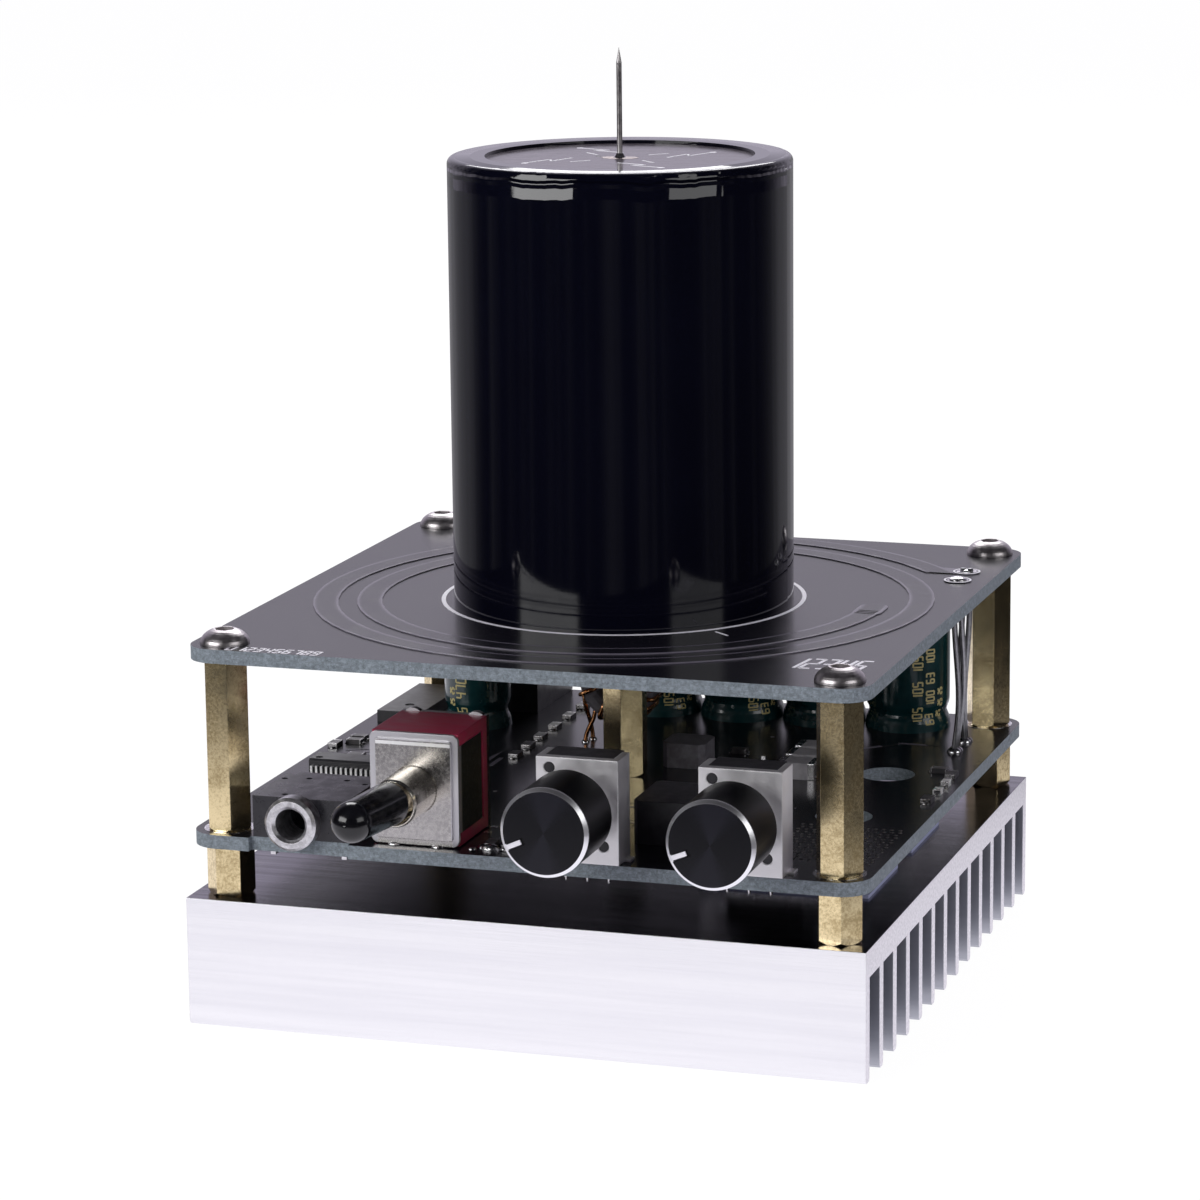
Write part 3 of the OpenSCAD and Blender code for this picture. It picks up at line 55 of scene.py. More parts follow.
def finished(name, verts, faces, look, body="stack", smooth=False):
    """A mesh object from points and lists of faces, welded, facing outwards, and riding on a body."""
    mesh = bpy.data.meshes.new(name)
    mesh.from_pydata(np.asarray(verts, float).reshape(-1, 3).tolist(), [], faces)
    shape = bmesh.new()
    shape.from_mesh(mesh)
    bmesh.ops.remove_doubles(shape, verts=shape.verts, dist=WELD)
    bmesh.ops.dissolve_degenerate(shape, edges=shape.edges, dist=WELD / 4)
    bmesh.ops.recalc_face_normals(shape, faces=shape.faces)
    shape.to_mesh(mesh)
    shape.free()
    mesh.materials.append(look.paint)
    mesh.polygons.foreach_set("use_smooth", [smooth] * len(mesh.polygons))
    piece = bpy.data.objects.new(name, mesh)
    bpy.context.scene.collection.objects.link(piece)
    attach(piece, body)
    return piece


def grid_faces(rows, columns, copies=1, caps=True):
    """Quads over copies of a rows by columns grid that closes round its columns; caps close its two end rows."""
    i, j = np.meshgrid(np.arange(rows - 1), np.arange(columns), indexing="ij")
    k = (j + 1) % columns
    quads = np.stack([i * columns + j, i * columns + k, (i + 1) * columns + k, (i + 1) * columns + j], -1)
    shift = (np.arange(copies) * rows * columns)[:, None, None]
    faces = (quads.reshape(1, -1, 4) + shift).reshape(-1, 4).tolist()
    if caps:
        ends = np.stack([np.arange(columns)[::-1], (rows - 1) * columns + np.arange(columns)])
        faces += (ends[None] + shift).reshape(-1, columns).tolist()
    return faces


def turned(name, profile, centres, look, sides=48):
    """Profiles turned about Z through each centre: each point is centre + (r cos a, r sin a, z)."""
    profile = np.asarray(profile, float)
    centres = np.atleast_2d(np.asarray(centres, float))
    a = np.linspace(0, 2 * np.pi, sides, endpoint=False)
    ring = np.stack([profile[:, 0, None] * np.cos(a), profile[:, 0, None] * np.sin(a),
                     np.repeat(profile[:, 1, None], sides, 1)], -1)
    verts = centres[:, None, None] + ring[None]
    closed = bool(np.allclose(profile[0], profile[-1]))
    faces = grid_faces(len(profile), sides, len(centres), caps=not closed)
    return finished(name, verts * MM, faces, look)


def rounded_boxes(name, centres, sizes, radius, look):
    """Boxes with round edges: an eighth of a ball at each corner, centre + sign (half size - r) + r direction."""
    centres, sizes = np.atleast_2d(np.asarray(centres, float)), np.atleast_2d(np.asarray(sizes, float))
    steps = 3
    quarter = np.linspace(0, np.pi / 2, steps + 1)
    lon = np.concatenate([quarter + q * np.pi / 2 for q in range(4)])
    lat = np.concatenate([quarter - np.pi / 2, quarter])
    sx = np.repeat([1, -1, -1, 1], steps + 1)
    sy = np.repeat([1, 1, -1, -1], steps + 1)
    sz = np.repeat([-1, 1], steps + 1)
    ball = np.stack([np.cos(lat)[:, None] * np.cos(lon), np.cos(lat)[:, None] * np.sin(lon),
                     np.repeat(np.sin(lat)[:, None], len(lon), 1)], -1)
    sign = np.stack(np.broadcast_arrays(sx[None], sy[None], sz[:, None]), -1).astype(float)
    radius = np.minimum(radius, sizes.min(1) * 0.49)[:, None, None, None]
    verts = (centres[:, None, None] + sign[None] * (sizes[:, None, None] / 2 - radius) + ball[None] * radius)
    faces = grid_faces(len(lat), len(lon), len(centres))
    return finished(name, verts * MM, faces, look)


def heading(path):
    """Unit steps along a path of points."""
    step = np.gradient(path, axis=0)
    return step / np.linalg.norm(step, axis=1, keepdims=True)


def tubes(name, paths, sides_to, radius, look, sides=12):
    """Round tubes: each ring is path + r (cos a n + sin a b), n being the given side made square to the path."""
    verts, faces, start = [], [], 0
    a = np.linspace(0, 2 * np.pi, sides, endpoint=False)[None, :, None]
    for path, side in zip(paths, sides_to):
        path = np.asarray(path, float)
        along = heading(path)
        n = np.broadcast_to(np.asarray(side, float), path.shape)
        n = n - (n * along).sum(1, keepdims=True) * along
        n /= np.linalg.norm(n, axis=1, keepdims=True)
        b = np.cross(along, n)
        ring = radius * (np.cos(a) * n[:, None] + np.sin(a) * b[:, None])
        verts.append((path[:, None] + ring).reshape(-1, 3))
        faces += [[v + start for v in f] for f in grid_faces(len(path), sides)]
        start += len(path) * sides
    return finished(name, np.concatenate(verts) * MM, faces, look, smooth=True)


def smoothed(points, count):
    """Catmull-Rom curve through points, sampled evenly: whole arrays of the four weights on each stretch."""
    p = np.asarray(points, float)
    p = np.vstack([2 * p[0] - p[1], p, 2 * p[-1] - p[-2]])
    t = np.linspace(0, len(p) - 3 - 1e-9, count)
    i = t.astype(int)
    f = (t - i)[:, None]
    a, b, c, d = p[i], p[i + 1], p[i + 2], p[i + 3]
    return 0.5 * (2 * b + (c - a) * f + (2 * a - 5 * b + 4 * c - d) * f**2 + (3 * b - a - 3 * c + d) * f**3)


def ribbons(name, lines, width, thick, look, ups=None):
    """Printed lines: each point p moves to both sides, p +- w/2 (n x t), and up by thick along its normal n."""
    verts, faces, start = [], [], 0
    for at, one in enumerate(lines):
        p = np.asarray(one, float)
        n = np.broadcast_to([0.0, 0.0, 1.0], p.shape) if ups is None else np.asarray(ups[at], float)
        off = np.cross(n, heading(p)) * width / 2
        verts.append(np.stack([p - off, p + off, p + off + n * thick, p - off + n * thick], 1).reshape(-1, 3))
        faces += [[v + start for v in f] for f in grid_faces(len(p), 4)]
        start += len(p) * 4
    return finished(name, np.concatenate(verts) * MM, faces, look)


def balls(name, centres, radii, look, steps=10):
    """Squashed balls: centre + (rx cos u cos v, ry cos u sin v, rz sin u), welded at both poles."""
    centres, radii = np.atleast_2d(np.asarray(centres, float)), np.atleast_2d(np.asarray(radii, float))
    u = np.linspace(-np.pi / 2, np.pi / 2, steps)[:, None]
    v = np.linspace(0, 2 * np.pi, 2 * steps, endpoint=False)[None]
    unit = np.stack(np.broadcast_arrays(np.cos(u) * np.cos(v), np.cos(u) * np.sin(v), np.sin(u)), -1)
    verts = centres[:, None, None] + unit[None] * radii[:, None, None]
    return finished(name, verts * MM, grid_faces(steps, 2 * steps, len(centres)), look, smooth=True)


def solid_boxes(node):
    """Middle and size, in millimetres, of every separate solid in a node."""
    shape = bmesh.new()
    shape.from_mesh(solids[node].data)
    bmesh.ops.remove_doubles(shape, verts=shape.verts, dist=1e-6)
    left, found = set(shape.verts), []
    while left:
        group, edge = set(), [left.pop()]
        while edge:
            vert = edge.pop()
            group.add(vert)
            reach = [e.other_vert(vert) for e in vert.link_edges]
            edge += [v for v in reach if v in left]
            left.difference_update(reach)
        points = np.array([v.co for v in group]) / MM
        found.append((points.min(0), points.max(0)))
    shape.free()
    low, high = (np.array([f[k] for f in found]) for k in (0, 1))
    order = np.lexsort((low[:, 1].round(3), low[:, 0].round(3)))
    return ((low + high) / 2)[order], (high - low)[order]


# Strokes of the digits 0 to 9 on a grid two wide and four high
SEGMENTS = {"a": ((0, 4), (2, 4)), "b": ((2, 4), (2, 2)), "c": ((2, 2), (2, 0)), "d": ((0, 0), (2, 0)),
            "e": ((0, 2), (0, 0)), "f": ((0, 4), (0, 2)), "g": ((0, 2), (2, 2))}
DIGITS = dict(zip("0123456789", "abcdef bc abged abgcd fgbc afgcd afgedc abc abcdefg abfgcd".split()))


def digit_strokes(text, width, height, pitch, lean=0.0):
    """Strokes of plain digits along +u, of the given width and height, each as three points (u, v)."""
    strokes = []
    for place, mark in enumerate(text):
        for part in DIGITS.get(mark, ""):
            ends = np.array(SEGMENTS[part], float) * [width / 2, height / 4]
            ends[:, 0] += place * pitch + ends[:, 1] * lean
            strokes.append(np.linspace(ends[0], ends[1], 3))
    return strokes


# ---- Finishes: one class that builds node materials on each piece's own coordinates


class Finish:
    """A procedural material. A call adds nodes and hands back the socket that they end in, or the finish itself
    where it sets the skin's colour, roughness or relief."""

    def __init__(self, name, **values):
        self.paint = bpy.data.materials.new(name)
        self.paint.use_nodes = True
        self.tree = self.paint.node_tree
        self.skin = self.tree.nodes["Principled BSDF"]
        self.place = self.make("TexCoord").outputs["Object"]
        parts = self.make("SeparateXYZ")
        self.join(self.place, parts.inputs[0])
        self.x, self.y, self.z = parts.outputs
        for socket, value in values.items():
            self.skin.inputs[socket.replace("_", " ")].default_value = value

    def make(self, kind, **settings):
        made = self.tree.nodes.new("ShaderNode" + kind)
        for key, value in settings.items():
            setattr(made, key, value)
        return made

    def join(self, value, socket):
        if isinstance(value, bpy.types.NodeSocket):
            self.tree.links.new(value, socket)
        else:
            socket.default_value = value

    def math(self, kind, *values, clamp=False):
        made = self.make("Math", operation=kind, use_clamp=clamp)
        for value, socket in zip(values, made.inputs):
            self.join(value, socket)
        return made.outputs[0]

    def add(self, first, *others):
        for value in others:
            first = self.math("ADD", first, value)
        return first

    def times(self, first, second):
        return self.math("MULTIPLY", first, second)

    def minus(self, first, second):
        return self.math("SUBTRACT", first, second)

    def reach(self, first, second):
        """How far the point (first, second) is from the middle."""
        return self.math("SQRT", self.add(self.math("POWER", first, 2.0), self.math("POWER", second, 2.0)))

    def stretched(self, x, y, z):
        made = self.make("Mapping")
        self.join(self.place, made.inputs["Vector"])
        made.inputs["Scale"].default_value = (x, y, z)
        return made.outputs[0]

    def noise(self, scale, detail=3, rough=0.55, at=None):
        made = self.make("TexNoise")
        self.join(self.place if at is None else at, made.inputs["Vector"])
        for key, value in {"Scale": scale, "Detail": detail, "Roughness": rough}.items():
            made.inputs[key].default_value = value
        return made.outputs["Fac"]

    def cells(self, scale):
        made = self.make("TexVoronoi")
        self.join(self.place, made.inputs["Vector"])
        made.inputs["Scale"].default_value = scale
        return made.outputs["Distance"]

    def ramp(self, value, low, high, low_to=0.0, high_to=1.0, smooth=True):
        made = self.make("MapRange", interpolation_type="SMOOTHSTEP" if smooth else "LINEAR")
        for number, socket in zip((value, low, high, low_to, high_to), made.inputs):
            self.join(number, socket)
        return made.outputs[0]

    def sides(self):
        """How far the surface faces along X, Y and Z, as three sockets from -1 to 1."""
        parts = self.make("SeparateXYZ")
        self.join(self.make("TexCoord").outputs["Normal"], parts.inputs[0])
        return parts.outputs

    def near(self, value, centre, half, soft):
        """1 where value is within half of centre, fading to 0 over soft."""
        away = self.math("ABSOLUTE", self.minus(value, centre))
        return self.ramp(away, half, half + soft, 1.0, 0.0)

    def blend(self, share, first, second):
        made = self.make("Mix", data_type="RGBA", clamp_factor=True)
        self.join(share, made.inputs[0])
        for value, socket in ((first, made.inputs[6]), (second, made.inputs[7])):
            self.join((*value, 1.0) if isinstance(value, tuple) else value, socket)
        return made.outputs[2]

    def colour(self, value):
        self.join((*value, 1.0) if isinstance(value, tuple) else value, self.skin.inputs["Base Color"])
        return self

    def rough(self, value):
        self.join(value, self.skin.inputs["Roughness"])
        return self

    def relief(self, height, depth, strength=1.0, edge=None):
        """Fine relief: a bump of the given depth in metres, over edges that look rounded by edge metres."""
        bump = self.make("Bump")
        bump.inputs["Strength"].default_value = strength
        bump.inputs["Distance"].default_value = depth
        self.join(height, bump.inputs["Height"])
        if edge:
            soft = self.make("Bevel", samples=4)
            soft.inputs["Radius"].default_value = edge
            self.join(soft.outputs[0], bump.inputs["Normal"])
        self.join(bump.outputs[0], self.skin.inputs["Normal"])
        return self

    def on(self, *names):
        for name in names:
            slots = solids[name].data.materials
            slots.clear()
            slots.append(self.paint)
        return self


# ---- Camera, light and ground

# Fitted to the photograph: place in metres, turns in radians, and focal length in pixels of the whole frame
CAMERA_PLACE = (0.153603, -0.479464, 0.150937)
YAW, PITCH, ROLL = 0.3157016, 0.2097375, -0.0107964
FOCAL_PIXELS, FRAME_PIXELS, SENSOR_MM = 4343.81, 1200, 36
# Level direction from the camera to the object, and the tints of what stands round it
VIEW_AXIS = (-0.3104, 0.9506, 0.0)
FLOOR_CAST, WALL_CAST, WHITE = (0.95, 0.93, 1.0), (0.89, 0.83, 1.0), (1.0, 1.0, 1.0)

camera = bpy.data.objects.new("camera", bpy.data.cameras.new("camera"))
bpy.context.scene.collection.objects.link(camera)
bpy.context.scene.camera = camera
ahead = Vector((-math.sin(YAW) * math.cos(PITCH), math.cos(YAW) * math.cos(PITCH), -math.sin(PITCH)))
level = Vector((math.cos(YAW), math.sin(YAW), 0))
upward = level.cross(ahead)
right = level * math.cos(ROLL) + upward * math.sin(ROLL)
upright = upward * math.cos(ROLL) - level * math.sin(ROLL)
turn = Matrix((right, upright, -ahead)).transposed().to_4x4()
camera.matrix_world = Matrix.Translation(CAMERA_PLACE) @ turn
camera.data.sensor_width = SENSOR_MM
camera.data.lens = FOCAL_PIXELS / FRAME_PIXELS * SENSOR_MM
camera.data.clip_start = 0.01
camera.data.clip_end = 20


def softbox(name, place, target, width, height, power):
    """A white rectangular lamp at a place, facing a target."""
    lamp = bpy.data.lights.new(name, "AREA")
    lamp.shape, lamp.size, lamp.size_y = "RECTANGLE", width, height
    lamp.energy = power
    stand = bpy.data.objects.new(name, lamp)
    bpy.context.scene.collection.objects.link(stand)
    aim = (Vector(target) - Vector(place)).to_track_quat("-Z", "Y").to_matrix().to_4x4()
    stand.matrix_world = Matrix.Translation(place) @ aim


softbox("left_softbox", (-0.4, -0.59, 0.3), (0, 0, 0.07), 0.56, 0.26, 2.7)
softbox("right_softbox", (0.66, -0.27, 0.3), (0, 0, 0.07), 0.5, 0.26, 0.9)
softbox("rear_softbox", (-0.18, 0.62, 0.62), (0, 0, 0.08), 0.6, 0.4, 4.2)


def studio_world():
    """White to the camera; in gloss a pale wall behind the object and a dark room before it; else one level."""
    plain_level, dark_room, pale_wall = 0.45, 0.012, 0.6
    world = bpy.data.worlds.new("studio")
    bpy.context.scene.world = world
    world.use_nodes = True
    new, link = world.node_tree.nodes.new, world.node_tree.links.new
    sky = world.node_tree.nodes["Background"]
    ray = new("ShaderNodeLightPath")
    facing = new("ShaderNodeVectorMath")
    facing.operation = "DOT_PRODUCT"
    facing.inputs[1].default_value = VIEW_AXIS
    link(new("ShaderNodeTexCoord").outputs["Generated"], facing.inputs[0])
    wall = new("ShaderNodeMapRange")
    wall.interpolation_type = "SMOOTHSTEP"
    for value, socket in zip((0.3, 0.9, dark_room, pale_wall), wall.inputs[1:5]):
        socket.default_value = value
    link(facing.outputs["Value"], wall.inputs[0])
    plain = new("ShaderNodeMix")
    plain.inputs[2].default_value = plain_level
    link(ray.outputs["Is Glossy Ray"], plain.inputs[0])
    link(wall.outputs[0], plain.inputs[3])
    seen = new("ShaderNodeMix")
    seen.inputs[3].default_value = 1.0
    link(ray.outputs["Is Camera Ray"], seen.inputs[0])
    link(plain.outputs[0], seen.inputs[2])
    link(seen.outputs[0], sky.inputs["Strength"])
    tint = new("ShaderNodeMix")
    tint.data_type = "RGBA"
    tint.inputs[6].default_value = (*WALL_CAST, 1.0)
    tint.inputs[7].default_value = (*WHITE, 1.0)
    link(ray.outputs["Is Camera Ray"], tint.inputs[0])
    link(tint.outputs[2], sky.inputs["Color"])


def pale_floor():
    """A wide flat ground, white to the camera with a faint shadow. In gloss it is a white table near the object,
    a dark floor with faint streaks before it, and pale ground behind it."""
    size, table_x, white_seen, table_seen = 3.0, -0.045, 1.07, 1.08
    mesh = bpy.data.meshes.new("floor")
    corners = [(-size, -size, 0), (size, -size, 0), (size, size, 0), (-size, size, 0)]
    mesh.from_pydata(corners, [], [(0, 1, 2, 3)])
    ground = bpy.data.objects.new("floor", mesh)
    bpy.context.scene.collection.objects.link(ground)
    look = Finish("pale_floor", Roughness=0.9, Base_Color=(0.8, 0.8, 0.8, 1))
    ray = look.make("LightPath").outputs
    camera_ray, gloss_ray = ray["Is Camera Ray"], ray["Is Glossy Ray"]
    table = look.ramp(look.reach(look.minus(look.x, table_x), look.y), 0.125, 0.195, 1.0, 0.0)
    ahead_by = look.add(look.times(look.x, VIEW_AXIS[0]), look.times(look.y, VIEW_AXIS[1]))
    behind = look.ramp(look.math("DIVIDE", ahead_by, look.reach(look.x, look.y)), 0.15, 0.95, 0.0, 0.29)
    streak = look.make("TexNoise", noise_dimensions="1D")
    look.join(look.math("ARCTAN2", look.x, look.y), streak.inputs["W"])
    streak.inputs["Scale"].default_value = 2.6
    streak.inputs["Detail"].default_value = 3
    dark = look.ramp(streak.outputs["Fac"], 0.42, 0.72, 0.012, 0.1)
    gloss = look.math("MAXIMUM", look.times(table, table_seen), look.add(dark, behind))
    glow = look.make("Emission")
    look.join(look.add(look.times(camera_ray, white_seen), look.times(gloss_ray, gloss)), glow.inputs["Strength"])
    look.join(look.blend(camera_ray, FLOOR_CAST, WHITE), glow.inputs["Color"])
    share = look.math("ADD", look.times(camera_ray, 0.9), gloss_ray, clamp=True)
    both = look.make("MixShader")
    for part, socket in zip((share, look.skin.outputs[0], glow.outputs[0]), both.inputs):
        look.join(part, socket)
    look.join(both.outputs[0], look.tree.nodes["Material Output"].inputs["Surface"])
    mesh.materials.append(look.paint)


studio_world()
pale_floor()


# ---- Metals


def brushed_aluminium():
    """Extruded plate with long fine scratches along X: a bright front; a top with a dull shine, painted dark with
    streaks as painted shade and a painted dark reflection; sandy sawn ends; and dull grey inner walls between the
    fins, painted as shade."""
    f = Finish("brushed_aluminium", Metallic=1.0)
    front_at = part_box("heatsink")[0][1]
    nx, ny, nz = f.sides()
    wall = f.ramp(f.math("ABSOLUTE", ny), 0.5, 0.6)
    front = f.times(wall, f.ramp(f.y, front_at + 0.0004, front_at + 0.0006, 1.0, 0.0))
    inner = f.minus(wall, front)
    top, sawn = f.ramp(nz, 0.5, 0.6), f.ramp(f.math("ABSOLUTE", nx), 0.5, 0.6)
    fine = f.noise(1.0, 4, 0.7, f.stretched(60, 5200, 5200))
    broad = f.noise(1.0, 3, 0.6, f.stretched(14, 500, 500))
    cloud = f.noise(60, 4, 0.6)
    sand = f.noise(2600, 4, 0.7)
    bright = f.blend(f.ramp(broad, 0.3, 0.7), (0.84, 0.84, 0.86), (0.92, 0.92, 0.93))
    streak = f.ramp(f.noise(1.0, 4, 0.8, f.stretched(22, 1500, 1500)), 0.3, 0.7)
    smeared = f.add(f.times(streak, 0.7), f.times(cloud, 0.3))
    # Painted shade: the top is painted dark with streaks, standing in for shade and the dark reflection of the
    # board above
    painted_top_shade = f.blend(smeared, (0.09, 0.087, 0.107), (0.33, 0.315, 0.36))
    cut = f.blend(f.ramp(sand, 0.3, 0.7), (0.66, 0.65, 0.68), (0.9, 0.88, 0.92))
    # Painted shade: the inner walls between the fins are painted a duller grey than the front
    grey = f.blend(broad, (0.37, 0.38, 0.42), (0.5, 0.51, 0.55))
    f.colour(f.blend(inner, f.blend(sawn, f.blend(top, bright, painted_top_shade), cut), grey))
    mirror = f.ramp(f.add(f.times(broad, 0.6), f.times(cloud, 0.4)), 0.2, 0.8, 0.19, 0.27)
    dull = f.math("MAXIMUM", f.times(sawn, 0.44), f.times(inner, 0.36))
    f.rough(f.math("MAXIMUM", f.minus(mirror, f.times(top, 0.07)), dull))
    lines = f.times(f.add(fine, f.times(broad, 0.15)), f.ramp(sawn, 0, 1, 1.0, 0.0))
    height = f.add(lines, f.times(sand, f.times(sawn, 1.2)))
    return f.relief(height, 0.000012, 0.9, edge=0.00012).on("heatsink")


def worn_brass(name, *nodes):
    """Turned brass bar: pale gold facets with fine brown specks, a little cloudy tarnish, and a soft shine."""
    f = Finish(name, Metallic=1.0)
    speck = f.noise(3000, 5, 0.75)
    cloud = f.noise(300, 4, 0.6)
    tarnish = f.ramp(f.add(f.times(speck, 0.6), f.times(cloud, 0.4)), 0.42, 0.62)
    f.colour(f.blend(tarnish, (0.84, 0.7, 0.41), (0.5, 0.39, 0.2)))
    f.rough(f.ramp(cloud, 0.3, 0.7, 0.16, 0.25))
    drawn = f.noise(1.0, 3, 0.6, f.stretched(1800, 1800, 300))
    return f.relief(f.add(drawn, speck), 0.0000035, 0.8, edge=0.00012).on(*nodes)


def plated(name, low, high, *nodes, rough=0.22, speck=0.5, edge=0.00012):
    """Plated sheet or bar: a soft shine with a mottled tone and fine dark specks."""
    f = Finish(name, Metallic=1.0)
    mottle = f.noise(1500, 5, 0.75)
    pits = f.ramp(f.cells(2400), 0.05, 0.4)
    tone = f.blend(f.ramp(mottle, 0.32, 0.68), low, high)
    f.colour(f.blend(f.times(f.minus(1.0, pits), speck), tone, tuple(c * 0.6 for c in low)))
    f.rough(f.ramp(mottle, 0.3, 0.7, rough, rough + 0.14))
    return f.relief(f.add(mottle, f.times(pits, speck)), 0.0000018, 0.8, edge=edge).on(*nodes)


def nickel_sheet():
    """The switch's steel frame under dull nickel: a mottled bright front inside a matt border painted pale as a
    highlight, a white line painted as the highlight where its top is folded, and straps painted dark as shade
    behind the bend."""
    f = Finish("nickel_sheet", Metallic=1.0)
    (left, front, _), (right_side, _, _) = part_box("toggle_front_plate")
    half, top, border = (right_side - left) / 2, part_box("toggle_body")[1][2], 0.00085
    inside = f.near(f.x, left + half, half - border, 0.00008)
    # Painted highlight: a white line across the fold at the top of the front
    fold_highlight = f.times(inside, f.near(f.z, top - 0.00115, 0.00017, 0.00008))
    inside = f.times(inside, f.ramp(f.z, top - 0.0009, top - 0.0008, 1.0, 0.0))
    flank = f.ramp(f.math("ABSOLUTE", f.sides()[0]), 0.4, 0.6)
    # Painted shade: the straps behind the bend are painted near black
    strap_shade = f.times(f.ramp(f.y, front + 0.0016, front + 0.0021), flank)
    mottle = f.noise(2300, 5, 0.8)
    cloud = f.noise(350, 4, 0.6)
    plate = f.blend(f.ramp(mottle, 0.3, 0.7), (0.3, 0.29, 0.29), (0.62, 0.6, 0.58))
    dark = f.blend(f.ramp(mottle, 0.45, 0.75), (0.018, 0.018, 0.022), (0.11, 0.105, 0.12))
    plate = f.blend(f.ramp(cloud, 0.3, 0.7, 0.0, 0.35), plate, (0.5, 0.48, 0.48))
    # Painted highlight: the matt border round the front is painted paler than the plate
    plate = f.blend(fold_highlight, f.blend(inside, (0.66, 0.65, 0.68), plate), WHITE)
    f.colour(f.blend(strap_shade, plate, dark))
    matt = f.math("MAXIMUM", f.times(f.minus(1.0, inside), 0.4), f.times(fold_highlight, 0.5))
    f.rough(f.math("MAXIMUM", f.ramp(mottle, 0.3, 0.7, 0.2, 0.3), matt))
    return f.relief(mottle, 0.0000012, 0.8, edge=0.00014).on("toggle_front_plate", "toggle_bracket")


def cast_zinc():
    """Die-cast frame: matte pale metal with a sandy skin and darker and paler clouds."""
    f = Finish("cast_zinc", Metallic=0.85)
    sand = f.noise(3200, 4, 0.7)
    cloud = f.noise(500, 3, 0.6)
    f.colour(f.blend(cloud, (0.74, 0.73, 0.74), (0.93, 0.92, 0.93)))
    f.rough(f.ramp(cloud, 0.3, 0.7, 0.36, 0.48))
    f.relief(sand, 0.00002, 0.8, edge=0.0002)
    return f.on("left_pot_frame", "right_pot_frame", "left_pot_shaft", "right_pot_shaft")


brushed_aluminium()
worn_brass("post_brass", "lower_posts", "upper_posts", "centre_post")
plated("nickel_bar", (0.66, 0.61, 0.53), (0.86, 0.82, 0.74), "toggle_bushing", "toggle_lever",
       rough=0.14, speck=0.0)
plated("barrel_metal", (0.5, 0.495, 0.51), (0.84, 0.83, 0.86), "jack_barrel",
       rough=0.32, speck=0.0, edge=0.00005)
nickel_sheet()
plated("black_nickel", (0.46, 0.43, 0.44), (0.6, 0.57, 0.58), "board_screws", "centre_screws",
       "transistor_screws", rough=0.28, speck=0.1)
tin = plated("bright_tin", (0.62, 0.61, 0.63), (0.82, 0.81, 0.83), "jack_contacts", "toggle_terminals",
             "left_pot_pins", "right_pot_pins", "capacitor_leads", "inlet_contacts", "transistor_tabs",
             "solder_joints", rough=0.16, speck=0.3, edge=None)
leg_metal = plated("leg_tin", (0.97, 0.97, 0.98), WHITE, "control_chip_legs", rough=0.6, speck=0.0, edge=None)
plated("needle_steel", (0.34, 0.32, 0.33), (0.5, 0.48, 0.48), "discharge_needle",
       rough=0.3, speck=0.0, edge=None)
plated("can_aluminium", (0.6, 0.6, 0.62), (0.74, 0.74, 0.76), "capacitor_cans",
       rough=0.3, speck=0.1, edge=None)
strand_metal = plated("tinned_strand", (0.26, 0.26, 0.28), (0.4, 0.4, 0.42), rough=0.32, speck=0.0, edge=None)
cast_zinc()


# ---- Boards, plastics, rubber and glass


def masked_board():
    """Laminate under satin black mask: woven relief on both faces, and grey-green fibres at the cut edges."""
    f = Finish("masked_board", IOR=1.5)
    face = f.ramp(f.math("ABSOLUTE", f.sides()[2]), 0.4, 0.6)
    mottle = f.noise(2600, 5, 0.8)
    fibre = f.noise(1.0, 4, 0.7, f.stretched(900, 900, 6000))
    cut_edge = f.blend(f.ramp(mottle, 0.3, 0.7), (0.095, 0.118, 0.128), (0.285, 0.335, 0.365))
    cut_edge = f.blend(f.ramp(fibre, 0.45, 0.7), cut_edge, (0.15, 0.175, 0.19))
    cloud = f.noise(300, 4, 0.6)
    mask = f.blend(cloud, (0.005, 0.005, 0.0075), (0.01, 0.0095, 0.013))
    f.colour(f.blend(face, cut_edge, mask))
    f.rough(f.blend(face, (0.75, 0.75, 0.75), f.blend(cloud, (0.19, 0.19, 0.19), (0.26, 0.26, 0.26))))
    weave = f.noise(2400, 3, 0.6)
    return f.relief(weave, 0.000004, 0.8).on("driver_board", "coil_board", "base_disc")


def masked_track():
    """Mask over copper: the same satin black, falling away softly along both borders and paler there, partly as
    thinner mask and partly as a painted highlight of the track's edges. The track's middle runs on half circles:
    the front ones about the centre, the rear ones about a point half a pitch to the right."""
    f = Finish("masked_track", IOR=1.5)
    cloud = f.noise(300, 4, 0.6)
    f.rough(f.ramp(cloud, 0.3, 0.7, 0.2, 0.27))
    start, pitch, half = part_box("coil_board")[1][0] - 0.0097, 0.0052, 0.0015
    shift = f.times(f.math("GREATER_THAN", f.y, 0.0), pitch / 2)
    reach = f.reach(f.minus(f.x, shift), f.y)
    turns = f.math("DIVIDE", f.minus(f.minus(reach, start), shift), pitch)
    off = f.minus(f.math("FRACT", f.add(turns, 0.5)), 0.5)
    off = f.times(f.math("ABSOLUTE", off), pitch)
    border = f.ramp(off, half - 0.00045, half, 0.0, -0.000036, smooth=False)
    # Paler border colour: partly thinner mask over the copper edge, partly a painted highlight
    thin = f.ramp(off, half - 0.00055, half - 0.0001)
    mask = f.blend(cloud, (0.0065, 0.0065, 0.009), (0.012, 0.0115, 0.015))
    f.colour(f.blend(thin, mask, (0.14, 0.131, 0.158)))
    grain = f.times(f.noise(2400, 3, 0.6), 0.000004)
    return f.relief(f.add(border, grain), 1.0, 1.0, edge=0.0001).on("primary_track")


def disc_mask():
    """The small top board: matt grey-violet mask."""
    f = Finish("disc_mask", IOR=1.5)
    cloud = f.noise(500, 4, 0.6)
    f.colour(f.blend(cloud, (0.09, 0.078, 0.09), (0.13, 0.115, 0.13)))
    f.rough(f.ramp(cloud, 0.3, 0.7, 0.13, 0.19))
    return f.relief(f.noise(2600, 3, 0.6), 0.000003, 0.7).on("top_disc")


